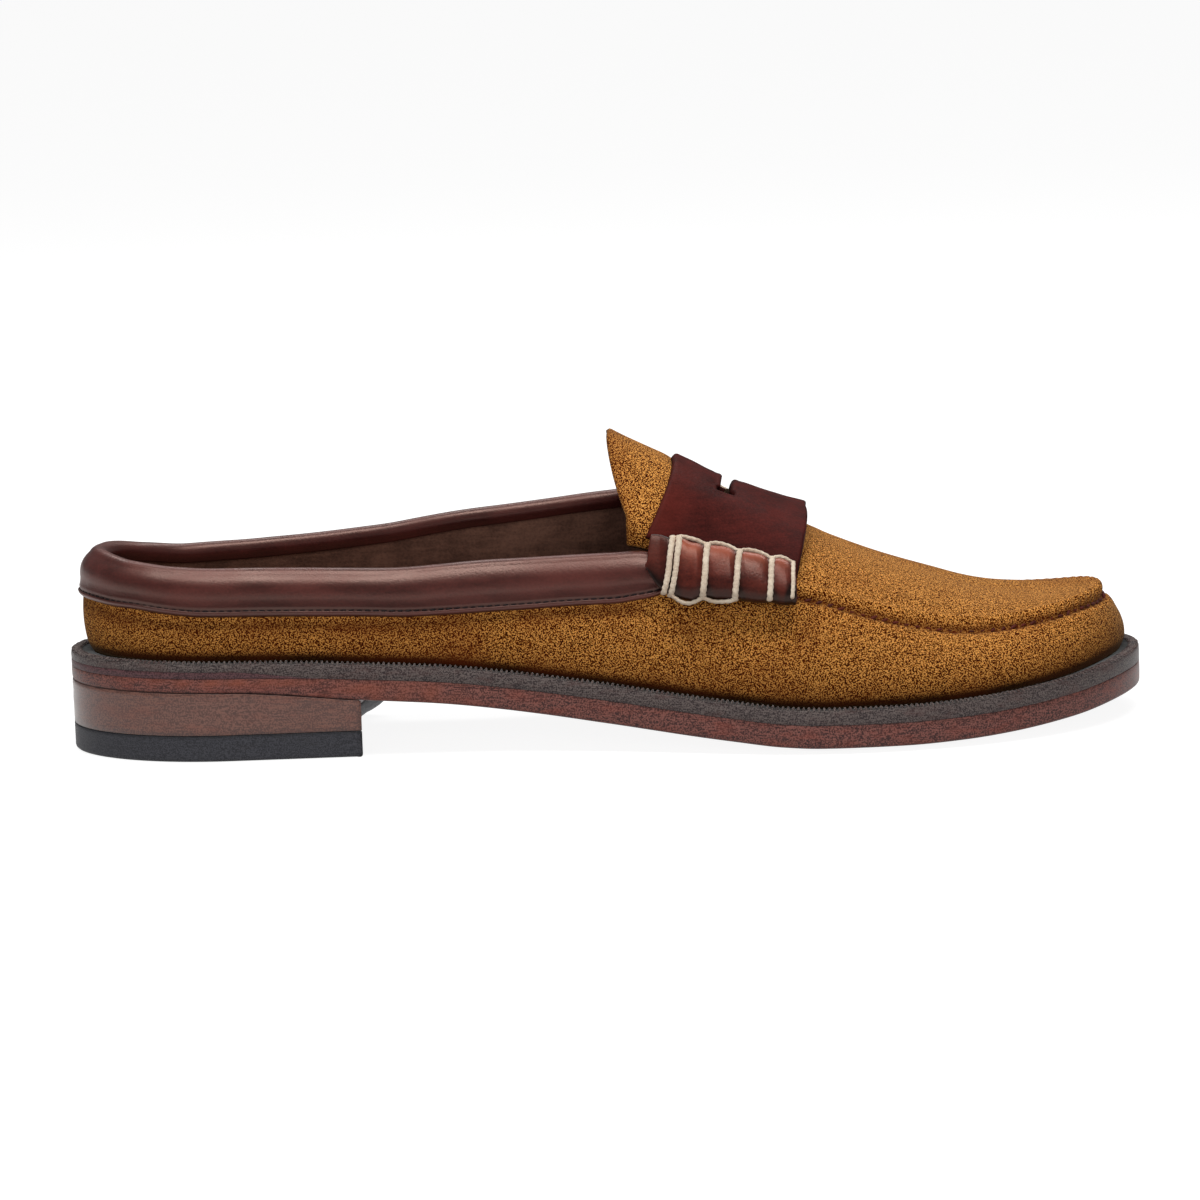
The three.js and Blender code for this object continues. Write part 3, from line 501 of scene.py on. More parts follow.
def add_noise(tree, vector, scale, detail, roughness=0.5, output="Fac"):
    node = tree.nodes.new("ShaderNodeTexNoise")
    for label, value in (("Vector", vector), ("Scale", scale), ("Detail", detail), ("Roughness", roughness)):
        link_value(tree, node.inputs[label], value)
    return node.outputs[output]


def add_math(tree, operation, a, b=None, clamp=False):
    node = tree.nodes.new("ShaderNodeMath")
    node.operation = operation
    node.use_clamp = clamp
    link_value(tree, node.inputs[0], a)
    if b is not None:
        link_value(tree, node.inputs[1], b)
    return node.outputs[0]


def times(tree, a, b):
    return add_math(tree, "MULTIPLY", a, b)


def add_blend(tree, a, a_weight, b, b_weight):
    """Sum of two values, each times its weight."""
    return add_math(tree, "ADD", times(tree, a, a_weight), times(tree, b, b_weight))


def add_range(tree, value, low, high, to_low=0.0, to_high=1.0):
    node = tree.nodes.new("ShaderNodeMapRange")
    node.interpolation_type = "SMOOTHSTEP"
    for socket, given in zip(node.inputs, (value, low, high, to_low, to_high)):
        link_value(tree, socket, given)
    return node.outputs[0]


def add_mix(tree, amount, a, b):
    """Colour a where the amount is 0 and colour b where it is 1."""
    node = tree.nodes.new("ShaderNodeMix")
    node.data_type = "RGBA"
    for place, value in ((0, amount), (6, a), (7, b)):
        link_value(tree, node.inputs[place], value)
    return node.outputs[2]


def add_scaled(tree, vector, factors, plus=None):
    """Coordinates or a colour times a factor on each axis, added to other coordinates where given."""
    node = tree.nodes.new("ShaderNodeVectorMath")
    node.operation = "MULTIPLY_ADD" if plus else "MULTIPLY"
    link_value(tree, node.inputs[0], vector)
    link_value(tree, node.inputs[1], factors)
    if plus:
        link_value(tree, node.inputs[2], plus)
    return node.outputs[0]


def add_turned(tree, vector, angles):
    """Coordinates turned, so that a texture's own grid doesn't lie along the shoe."""
    node = tree.nodes.new("ShaderNodeVectorRotate")
    node.rotation_type = "EULER_XYZ"
    node.inputs["Rotation"].default_value = angles
    tree.links.new(vector, node.inputs["Vector"])
    return node.outputs["Vector"]


def make_nap_group():
    """Short suede nap: fibre tips in three tones, brushed patches and a fine relief."""
    group, given = new_group("suede nap", {"Nap size": 1400.0, "Patch size": 30.0, "Speckle": 0.5},
                             ("Light", "Middle", "Dark", "Red"))
    vector, nap_size, patch_size = given["Vector"], given["Nap size"], given["Patch size"]
    finer, brush_finer, brush_strength, red_strength = 1.45, 3.1, 0.3, 0.42
    tips = add_noise(group, add_turned(group, vector, (0.7, 0.4, 1.1)), nap_size, 0.0)
    fibres = add_noise(group, add_turned(group, vector, (1.3, 0.9, 0.3)), times(group, nap_size, finer), 0.0)
    patches = add_noise(group, vector, patch_size, 3.0, 0.55)
    brushed = add_noise(group, vector, times(group, patch_size, brush_finer), 3.0, 0.6)
    both = add_blend(group, tips, 0.5, fibres, 0.5)
    centred = add_math(group, "SUBTRACT", add_range(group, both, 0.3, 0.7), 0.5)
    speckled = add_math(group, "ADD", times(group, centred, given["Speckle"]), 0.5)
    brushing = times(group, add_math(group, "SUBTRACT", brushed, 0.5), brush_strength)
    tone = add_math(group, "ADD", speckled, brushing, clamp=True)
    low = add_mix(group, add_range(group, tone, 0.0, 0.5), given["Dark"], given["Middle"])
    base = add_mix(group, add_range(group, tone, 0.5, 1.0), low, given["Light"])
    red = times(group, add_range(group, patches, 0.52, 0.78), red_strength)
    return close_group(group, add_mix(group, red, base, given["Red"]), both,
                       add_range(group, patches, 0.3, 0.7, 0.9, 1.0))


def make_grain_group():
    """Smooth leather: fine pebbled grain, pores and a soft cloudy tone."""
    group, given = new_group("leather grain", {"Grain size": 1300.0, "Cloud size": 45.0, "Rough low": 0.35,
                                               "Rough high": 0.55}, ("Light", "Dark"))
    vector, grain_size, cloud_size = given["Vector"], given["Grain size"], given["Cloud size"]
    wobble_size, fine_size, streak_size, wobble_reach = 0.3, 1.7, 4.0, 0.0012
    wobble = add_noise(group, vector, times(group, grain_size, wobble_size), 2.0, output="Color")
    cells = group.nodes.new("ShaderNodeTexVoronoi")
    cells.feature = "SMOOTH_F1"
    cells.inputs["Smoothness"].default_value = 0.6
    group.links.new(add_scaled(group, wobble, (wobble_reach,) * 3, vector), cells.inputs["Vector"])
    group.links.new(grain_size, cells.inputs["Scale"])
    fine = add_noise(group, vector, times(group, grain_size, fine_size), 2.0, 0.6)
    clouds = add_noise(group, vector, cloud_size, 4.0, 0.6)
    streaks = add_noise(group, add_scaled(group, vector, (0.35, 1.0, 2.2)),
                        times(group, cloud_size, streak_size), 3.0, 0.6)
    height = add_blend(group, cells.outputs["Distance"], 0.7, fine, 0.45)
    cloudy = add_blend(group, clouds, 0.62, streaks, 0.38)
    pores = times(group, add_math(group, "SUBTRACT", height, 0.3), 0.8)
    tone = add_math(group, "ADD", times(group, add_range(group, cloudy, 0.36, 0.64), 0.7), pores, clamp=True)
    return close_group(group, add_mix(group, tone, given["Dark"], given["Light"]), height,
                       add_range(group, cloudy, 0.35, 0.65, given["Rough low"], given["Rough high"]))


def make_edge_group():
    """Cut and dyed leather edge: fibres lying along the edge, blotched dye and faint layers."""
    group, given = new_group("dyed edge", {"Fibre size": 260.0, "Layer height": 0.0036, "Layer depth": 0.0,
                                           "Warmth": 0.3}, ("Light", "Dark", "Warm"))
    vector, fibre_size = given["Vector"], given["Fibre size"]
    speck_size, dye_size, line_strength, line_colour = 4.2, 0.16, 0.45, (0.012, 0.007, 0.006, 1)
    fibres = add_noise(group, add_scaled(group, vector, (0.5, 0.5, 7.0)), fibre_size, 4.0, 0.65)
    specks = add_noise(group, vector, times(group, fibre_size, speck_size), 0.0)
    dye = add_noise(group, add_scaled(group, vector, (1.0, 1.0, 3.0)), times(group, fibre_size, dye_size),
                    4.0, 0.6)
    both = add_blend(group, fibres, 0.55, specks, 0.45)
    base = add_mix(group, add_range(group, both, 0.41, 0.59), given["Dark"], given["Light"])
    dyed = times(group, add_range(group, dye, 0.48, 0.7), given["Warmth"])
    base = add_mix(group, dyed, base, given["Warm"])
    apart = group.nodes.new("ShaderNodeSeparateXYZ")
    group.links.new(vector, apart.inputs[0])
    rising = add_math(group, "FRACT", add_math(group, "DIVIDE", apart.outputs["Z"], given["Layer height"]))
    from_line = add_math(group, "ABSOLUTE", add_math(group, "SUBTRACT", rising, 0.5))
    layer = times(group, add_range(group, from_line, 0.0, 0.08, 1.0, 0.0), given["Layer depth"])
    return close_group(group, add_mix(group, times(group, layer, line_strength), base, line_colour),
                       add_math(group, "SUBTRACT", both, layer),
                       add_range(group, fibres, 0.35, 0.65, 0.42, 0.62))


def from_srgb(red, green, blue):
    def linear(c):
        c = c / 255
        return c / 12.92 if c <= 0.04045 else ((c + 0.055) / 1.055) ** 2.4
    return (linear(red), linear(green), linear(blue), 1.0)


SHEEN_ROUGHNESS = 0.35
COAT_ROUGHNESS = 0.3


def new_finish(name, group, values, bump, depth, shaded, warmed, sheen=0.0, sheen_tint=WHITE, coat=0.0,
               specular=0.5, shine_tint=WHITE):
    """A material from a shared group; the marks "shade" and "warm" draw it to a dark and a warm colour. The
    dark is mostly painted shade. The warm is a tone of its own on the soles and at the suede's waist, a
    painted highlight on the rolls, and a painted reddish shade along the suede's seam and binding.

    Colours are given in sRGB from 0 to 255, and a value of three numbers is one of them.
    """
    finish = bpy.data.materials.new(name)
    finish.use_nodes = True
    tree = finish.node_tree
    surface = tree.nodes["Principled BSDF"]
    place = tree.nodes.new("ShaderNodeTexCoord")
    node = tree.nodes.new("ShaderNodeGroup")
    node.node_tree = group
    tree.links.new(place.outputs["Object"], node.inputs["Vector"])
    for label, value in values.items():
        node.inputs[label].default_value = from_srgb(*value) if isinstance(value, tuple) else value
    colour = node.outputs["Color"]
    # Painted shade and painted highlights come into the base colour through these marks.
    for mark, drawn_to in (("shade", shaded), ("warm", warmed)):
        reader = tree.nodes.new("ShaderNodeAttribute")
        reader.attribute_name = mark
        colour = add_mix(tree, reader.outputs["Fac"], colour, from_srgb(*drawn_to))
    relief = tree.nodes.new("ShaderNodeBump")
    relief.inputs["Strength"].default_value = bump
    relief.inputs["Distance"].default_value = depth
    tree.links.new(node.outputs["Height"], relief.inputs["Height"])
    for label, value in (("Base Color", colour), ("Roughness", node.outputs["Rough"]),
                         ("Normal", relief.outputs["Normal"]), ("Sheen Weight", sheen),
                         ("Sheen Roughness", SHEEN_ROUGHNESS), ("Sheen Tint", sheen_tint),
                         ("Coat Weight", coat), ("Coat Roughness", COAT_ROUGHNESS), ("Coat Tint", shine_tint),
                         ("Specular IOR Level", specular), ("Specular Tint", shine_tint)):
        link_value(tree, surface.inputs[label], value)
    return finish


nap = make_nap_group()
grain = make_grain_group()
dyed_edge = make_edge_group()


def leather(name, light, dark, shaded, grain_size, cloud_size, rough, bump, depth=0.0002,
            warmed=None, **shine):
    """Smooth leather or waxed thread; rough is the roughness where it is least and where it is most."""
    values = {"Grain size": grain_size, "Cloud size": cloud_size, "Light": light, "Dark": dark,
              "Rough low": rough[0], "Rough high": rough[1]}
    return new_finish(name, grain, values, bump, depth, shaded, warmed or shaded, **shine)


def edge(name, light, dark, warm, warmth, shaded, fibre_size, bump, warmed=None, layers=None, **shine):
    """Cut edge of leather or rubber; layers holds the height and depth of its layers, where they show."""
    values = {"Fibre size": fibre_size, "Light": light, "Dark": dark, "Warm": warm, "Warmth": warmth}
    values.update(layers or {})
    return new_finish(name, dyed_edge, values, bump, 0.0002, shaded, warmed or warm, **shine)


warm_shine = (1.0, 0.66, 0.56, 1.0)

# The suede's warm colour is a darker red; along the seam and below the binding it lays a painted reddish
# shade.
suede = new_finish(
    "tobacco suede", nap,
    {"Nap size": 2650.0, "Patch size": 26.0, "Speckle": 2.6, "Light": (238, 168, 86),
     "Middle": (148, 75, 14), "Dark": (54, 12, 1), "Red": (104, 40, 14)},
    0.9, 0.00024, (30, 14, 7), (104, 40, 14), sheen=0.2, sheen_tint=from_srgb(235, 200, 155), specular=0.05)
burgundy = leather("burgundy leather", (86, 35, 32), (46, 16, 16), (22, 8, 9), 1500.0, 40.0, (0.34, 0.46),
                   0.22, coat=0.08, specular=1.0, shine_tint=warm_shine)
strap_leather = leather("dark burgundy strap leather", (90, 34, 30), (42, 13, 12), (20, 6, 8), 1700.0, 55.0,
                        (0.48, 0.6), 0.2, warmed=(132, 52, 42), specular=0.05, shine_tint=warm_shine)
# The rolls' warm colour is lighter than their leather: it lays a painted highlight on them.
roll_leather = leather("red-brown roll leather", (114, 44, 33), (60, 20, 18), (12, 5, 6), 1500.0, 70.0,
                       (0.3, 0.42), 0.2, warmed=(186, 98, 70), shine_tint=warm_shine)
lining_leather = leather("dark lining leather", (134, 98, 82), (88, 62, 52), (26, 18, 15), 1300.0, 90.0,
                         (0.6, 0.8), 0.4, depth=0.0004, specular=0.25)
thread_cream = leather("cream waxed thread", (246, 230, 208), (200, 176, 152), (90, 66, 52), 3200.0, 220.0,
                       (0.6, 0.8), 0.5, depth=0.00015, specular=0.3)
thread_brown = leather("dark red-brown thread", (110, 44, 30), (52, 18, 12), (24, 10, 8), 3000.0, 160.0,
                       (0.55, 0.75), 0.4, depth=0.00012, specular=0.3)
thread_black = leather("near-black thread", (36, 22, 22), (16, 9, 10), (12, 8, 8), 3000.0, 160.0,
                       (0.55, 0.75), 0.4, depth=0.00012, specular=0.3)
welt_leather = edge("dark welt leather", (120, 108, 104), (50, 40, 42), (96, 66, 62), 0.4, (6, 5, 5), 700.0,
                    0.35, sheen=0.35, specular=0.3)
rand_leather = edge("purple-brown rand leather", (112, 78, 80), (60, 38, 43), (112, 62, 58), 0.3,
                    (24, 14, 15), 600.0, 0.25, coat=0.1, specular=0.3)
sole_leather = edge("red-brown sole leather", (148, 94, 84), (62, 34, 33), (152, 70, 52), 0.3, (34, 18, 15),
                    600.0, 0.35, warmed=(160, 84, 60), sheen=0.3, coat=0.15, specular=0.3)
stack_leather = edge("stacked heel leather", (134, 92, 79), (88, 57, 50), (142, 74, 56), 0.25, (34, 20, 17),
                     560.0, 0.3, layers={"Layer height": 0.0038, "Layer depth": 0.18}, sheen=0.6, coat=0.7,
                     specular=0.35)
lift_rubber = edge("black heel rubber", (76, 76, 82), (48, 48, 53), (62, 60, 62), 0.2, (18, 18, 20), 700.0,
                   0.3, specular=0.3)


# Bottom of the shoe
def make_outsole():
    """Leather sole: a cambered tread with a stitch channel, an eased lower edge and a plain side."""
    ways = ring_ways(440)
    joint, side_drop = 0.12, 0.1

    def tread(depth):
        away = np.clip((TREAD_FLAT_INSET - depth) / (TREAD_FLAT_INSET - EDGE_ROUND), 0, 1)
        return lambda at: tread_z(at) + away ** TREAD_CURVE * TREAD_CAMBER * camber_share(at)

    def side(rise):
        def height(at):
            foot = edge_z(at) + EDGE_ROUND
            return foot + (outsole_top_z(at) - foot) * rise - side_drop
        return height

    before = [(flat_inset(d), tread(d)) for d in (18, 14, 10.5, 8, 6.2, CHANNEL_INSET + CHANNEL_DEPTH)]
    channel = (flat_inset(CHANNEL_INSET), lambda at: tread(CHANNEL_INSET)(at) + CHANNEL_DEPTH)
    beyond = [(flat_inset(d), tread(d)) for d in (CHANNEL_INSET - CHANNEL_DEPTH, 4, 2.6, 1.5)]
    profile = before + [channel] + beyond
    tread_rings = len(profile)
    for angle in np.radians([0, 25, 50, 72, 90]):
        profile.append((flat_inset(EDGE_ROUND * (1 - math.sin(angle))),
                        lambda at, a=angle: edge_z(at) + EDGE_ROUND * (1 - math.cos(a))))
    profile += [(flat_inset(depth), side(rise)) for rise, depth in ((0.35, -0.05), (0.65, -0.05), (1.0, 0.0))]
    side_rings = len(profile)
    profile += [(flat_inset(depth), lambda at: outsole_top_z(at) + joint) for depth in (joint, 8.0)]
    rings = sole_rings(ways, profile)

    at = np.broadcast_to(share(ways), rings.shape[:2])
    level = np.arange(len(profile))[:, None]
    under_welt = rings[..., 2] - outsole_top_z(at)
    # Painted shade along the joint under the welt and along the sole's lower edge, more of it forward of the
    # heel; the tread is drawn darker.
    welt_joint_shade = band(under_welt, 0, 0.6, 0.2)
    lower_edge_shade = band(rings[..., 2], edge_z(at), 0.8) * (0.1 + 0.25 * ramp(at, 0.27, 0.05))
    lower_edge_shade = lower_edge_shade * (level < side_rings - 1)
    tread_darkening = (level < tread_rings - 1) * 0.2
    breast_glow = (band(at, 0.275, 0.035, 0.5) + band(at, 0.34, 0.03, 0.35)) * band(under_welt, -3.5, 3.2)
    heel_line = band(under_welt, -0.9, 1.3) * band(at, 0.15, 0.09, 0.55)
    warm = np.clip((breast_glow + heel_line) * (level > tread_rings - 1), 0, 0.8)
    warm = warm * (0.65 + 0.5 * ripple(rings[..., 0] * 0.45, rings[..., 2] * 0.9, seed=4))
    make_piece("outsole_leather", rings, plate(rings), sole_leather, "outsole",
               {"shade": np.clip(welt_joint_shade + lower_edge_shade + tread_darkening, 0, 0.9), "warm": np.clip(warm, 0, 1)})


def rand_height(at):
    taper = curve([0, HEEL_ROUND, RAND_END], [1, 0.95, 0])
    return RAND_THICKNESS * taper(at)


def welt_inner(at):
    return WELT_REVEAL * reveal_share(at) + WALL + CLEARANCE


def make_welt():
    """Welt: a flat strip, eased at its rim, sunk a little where its wheeled marks lie."""
    ways = ring_ways(560)

    def bottom(at):
        return outsole_top_z(at) + CLEARANCE * 0.6 + rand_height(at)

    def above(rise):
        return lambda at: bottom(at) + rise

    def below_top(drop):
        return lambda at: welt_top_z(at) - drop

    # The third number of each step is painted shade: dark over the welt's top, so that the gaps between the
    # wheeled ridges read as shadow, and darker towards its joint below.
    profile = [(welt_inner, bottom, 0.6), (flat_inset(0.12), bottom, 0.5),
               (flat_inset(0.04), above(0.04), 0.3),
               (flat_inset(0.0), above(0.15), 0.1),
               (flat_inset(-0.04), lambda at: (bottom(at) + welt_top_z(at)) / 2, 0.0),
               (flat_inset(0.0), below_top(WELT_EASE), 0.05), (flat_inset(0.15), below_top(0.15), 0.35),
               (flat_inset(WELT_EASE), welt_top_z, 0.8), (flat_inset(1.5), welt_top_z, 0.9),
               (flat_inset(2.1), below_top(0.35), 1.0), (welt_inner, below_top(0.5), 1.0)]
    rings = sole_rings(ways, [(depth, height) for depth, height, _ in profile])
    shade = by_level([dark for _, _, dark in profile], rings.shape)
    sections = np.swapaxes(rings, 0, 1)
    make_piece("welt_strip", sections, swept(sections, True), welt_leather, "welt",
               {"shade": shade.T})


def make_rand():
    """Thin strip between outsole and welt round the heel, tapering out on both sides."""
    reach = float(way_of(RAND_END - 0.002))
    ways = np.linspace(-reach, reach, 220)
    at = share(ways)
    low = outsole_top_z(at) + CLEARANCE * 0.4
    high = low + rand_height(at) + 0.12
    # The third number of each step is painted shade, darker where the strip runs in between outsole and welt.
    profile = ((7.0, 0, 0.6), (0.1, 0, 0.3), (0.0, 0.1, 0.1), (-0.03, 0.5, 0.0),
               (0.0, 0.9, 0.1), (0.1, 1, 0.3),
               (7.0, 1, 0.6))
    sections = np.stack([raised(inset(ways, np.full_like(ways, depth)), mix(low, high, rise))
                         for depth, rise, _ in profile], 1)
    shade = np.broadcast_to([dark for _, _, dark in profile], sections.shape[:2])
    make_piece("rand_strip", sections, swept(sections, False), rand_leather,
               "heel_rand", {"shade": shade})


def heel_loop(breast_medial, count=80):
    """Outline of the heel: the sole's round end, closed by a hollow breast."""
    lateral = outline(np.linspace(0, float(way_of(BREAST_LATERAL / LENGTH)), count))
    medial = outline(-np.linspace(0, float(way_of(breast_medial / LENGTH)), count))
    t = np.linspace(0, 1, 26)[1:-1, None]
    across = mix(lateral[-1], medial[-1], t)
    across = across - np.array([1.0, 0.0]) * BREAST_HOLLOW * np.sin(np.pi * t) ** BREAST_ROUNDNESS
    return np.concatenate([lateral, across, medial[:0:-1]])


def drawn_in(loop, depth):
    along = unit(np.roll(loop, -1, axis=0) - np.roll(loop, 1, axis=0))
    return loop + np.stack([-along[:, 1], along[:, 0]], -1) * depth


def breast_medial_at(z):
    return BREAST_MEDIAL - CORNER_CUT * max(0.0, 1 - z / CORNER_CUT_HEIGHT) ** CORNER_CUT_CURVE


def make_top_lift():
    """Rubber layer on the floor, rounded below, its inner front corner cut back."""
    levels = ((0.9, 0), (0.45, 0.12), (0.12, 0.45), (0, 0.9), (0, 1.6), (0, 2.6), (0, 3.8), (0, 5), (0, 6.2),
              (0, TOP_LIFT_THICKNESS - 0.15), (0.12, TOP_LIFT_THICKNESS))
    rings = np.stack([raised(drawn_in(heel_loop(breast_medial_at(z)), depth), z) for depth, z in levels])
    z = rings[..., 2]
    # Painted shade at the joint with the stack and near the floor.
    make_piece("top_lift_rubber", rings, stacked(rings), lift_rubber, "top_lift",
               {"shade": band(z, TOP_LIFT_THICKNESS, 0.5, 0.6) + band(z, 0, 0.8, 0.3)})


def make_heel_stack():
    """Wedge of leather layers between the top lift and the outsole, its side barely waved."""
    loop = heel_loop(breast_medial_at(TOP_LIFT_THICKNESS))
    low = np.full(len(loop), TOP_LIFT_THICKNESS + CLEARANCE * 0.5)
    high = tread_z(loop[:, 0] / LENGTH) - CLEARANCE * 0.4
    wave, waves = 0.06, 19
    levels = [(0.15, low), (0.03, low + 0.1)]
    levels += [(wave * math.sin(rise * waves), mix(low, high, rise))
               for rise in (0.15, 0.35, 0.55, 0.75, 0.92)]
    levels += [(0.03, high - 0.1), (0.12, high)]
    rings = np.stack([raised(drawn_in(loop, depth), height) for depth, height in levels])
    z = rings[..., 2]
    # Painted shade at the joints with the top lift and the outsole.
    make_piece("heel_stack_leather", rings, stacked(rings), stack_leather, "heel_stack",
               {"shade": np.clip(band(z, low, 0.5, 0.3) + band(z, high, 0.35, 0.1), 0, 1)})


def make_sock():
    """Insole with its sock of lining leather, dished a little under the foot."""
    def side(at):
        return welt_inner(at) + CLEARANCE

    def top(depth, sag):
        return (lambda at: side(at) + depth), (lambda at: welt_top_z(at) + INSOLE_ABOVE_WELT - sag)

    profile = [(side, lambda at: outsole_top_z(at) + CLEARANCE), (side, welt_top_z)]
    profile += [top(depth, sag)
                for depth, sag in ((0.15, 0.5), (0.5, 0.15), (1.0, 0.0), (3.0, 0.1), (7.0, 0.4),
                                                   (12.0, 0.7), (18.0, 0.9))]
    rings = sole_rings(ring_ways(300), profile)
    # Painted shade: darker towards the sides, deep inside the shoe.
    shade = by_level([0.9, 0.9, 0.8, 0.6, 0.5, 0.35, 0.15, 0.05, 0.0], rings.shape)
    make_piece("insole_sock", rings, plate(rings), lining_leather, "insole",
               {"shade": shade})


# Upper: one skin of suede, and its lining inside it
def skin_rows(wall_rows, dome_rows):
    """Rows up the wall, closer at its foot and seam, and rows over the dome, closer at the seam."""
    t = np.linspace(0, 1, wall_rows + 1)
    wall = (0.5 * t + 0.5 * (0.5 - 0.5 * np.cos(np.pi * t))) ** 0.9
    return wall, np.linspace(0, 1, dome_rows + 1) ** 2.1


def seam_length(ways):
    """Millimetres along the moccasin seam at each way."""
    fine = np.linspace(0, 2, 2001)
    seam = wall_point(fine, np.ones_like(fine))
    steps = np.linalg.norm(np.diff(seam, axis=0), axis=1)
    return np.interp(np.mod(ways, 2), fine, np.concatenate([[0], np.cumsum(steps)]))


def seam_relief(ways, off):
    """Relief of the hand-sewn seam at a signed distance from it: a sunk line, puckers and a puffed edge."""
    length = seam_length(ways)
    beat = np.cos(2 * np.pi * length / PUCKER_PITCH + 0.9 * ripple(length * 0.05, seed=3))
    groove = -band(off, 0, 0.6, 0.95)
    puff = band(off, 2.1, 1.15, 0.75) + band(off, -2.2, 1.5, 0.25)
    pucker = 0.22 * beat * (band(off, 1.3, 1.1) + band(off, -1.2, 1.1, 0.8))
    uneven = 0.18 * ripple(length * 0.12, seed=8) * band(off, 1.5, 2.5)
    return (groove + puff + pucker + uneven) * ramp(share(ways), 0.6, 0.05)


# Soft dents and swells of the quarters and vamp: way, row, length, height and depth in millimetres
SWELLS = [(0.30, 0.45, 22, 9, -0.5), (0.40, 0.35, 18, 8, -0.45), (0.36, 0.65, 16, 6, 0.3),
          (0.52, 0.40, 24, 9, -0.35), (0.63, 0.55, 16, 8, 0.25), (0.74, 0.50, 20, 9, 0.3),
          (1.62, 0.45, 22, 9, -0.5), (1.48, 0.45, 18, 8, -0.35), (1.3, 0.5, 20, 9, 0.3)]
SWELL_SIDE = 0.35


def wall_relief(ways, row, rise):
    """Dents, swells and fine unevenness of the wall between its foot and its seam."""
    length = LENGTH * share(ways)
    relief = np.zeros_like(ways)
    for way, middle, long, high, depth in SWELLS:
        same_side = np.abs(np.mod(ways, 2) - way) < SWELL_SIDE
        lengthwise = band(length, LENGTH * share(way), long, depth)
        relief += lengthwise * near((row - middle) * rise, high) * same_side
    uneven = ripple(length * 0.09, row * rise * 0.25, np.mod(ways, 2) * 4, seed=11)
    return relief + 0.12 * uneven * np.sin(np.pi * row)


def wall_marks(ways, row, rise):
    """Shade and warmth of the wall: painted shade at the welt, the toe, the seam, below the binding and on
    the ball; painted reddish shade along the seam and below the binding; reddish at the waist and along the
    foot.
    """
    at = share(ways)
    lift, drop = rise * row, (1 - row) * rise
    seam_shade_unevenness = np.clip(0.65 + 0.6 * ripple(seam_length(ways) * 0.35, seed=14), 0.1, 1.3)
    # Painted shade: at the foot by the welt and at the toe, in the seam groove, below the binding's edge, and
    # a little on the ball, where the side turns up into the light.
    at_welt = band(lift, 0, 1.7) + 0.35 * np.exp(-lift / 5.0)
    at_toe = band(at, 1.0, 0.06, 0.6) * np.exp(-lift / 6.0)
    at_seam = band(drop, 0, 0.42, 0.75) * (at > 0.6) * seam_shade_unevenness
    under_binding = band(drop, BINDING_DEPTH + 0.6, 1.3, 0.35) * (at < BINDING_END + 0.01)
    ball_turned = band(at, 0.76, 0.13, 0.12) * np.sin(np.pi * row)
    shade = np.clip(at_welt + at_toe + at_seam + under_binding + ball_turned, 0, 0.95)
    # Reddish at the waist and along the foot; painted reddish shade along the seam and below the binding.
    waist = band(at, 0.36, 0.06, 0.55) * np.exp(-lift / 9.0) + 0.3 * np.exp(-lift / 4.0)
    seam_red_shade = band(drop, 0, 0.8, 0.5) * (at > 0.62) * seam_shade_unevenness
    binding_red_shade = band(drop, BINDING_DEPTH + 1.0, 3.0, 0.3) * (at < BINDING_END)
    warm = np.clip(waist + seam_red_shade + binding_red_shade, 0, 1)
    return shade, warm * np.clip(0.8 + 0.5 * ripple(at * 60, lift * 0.25, seed=5), 0, 1.2)


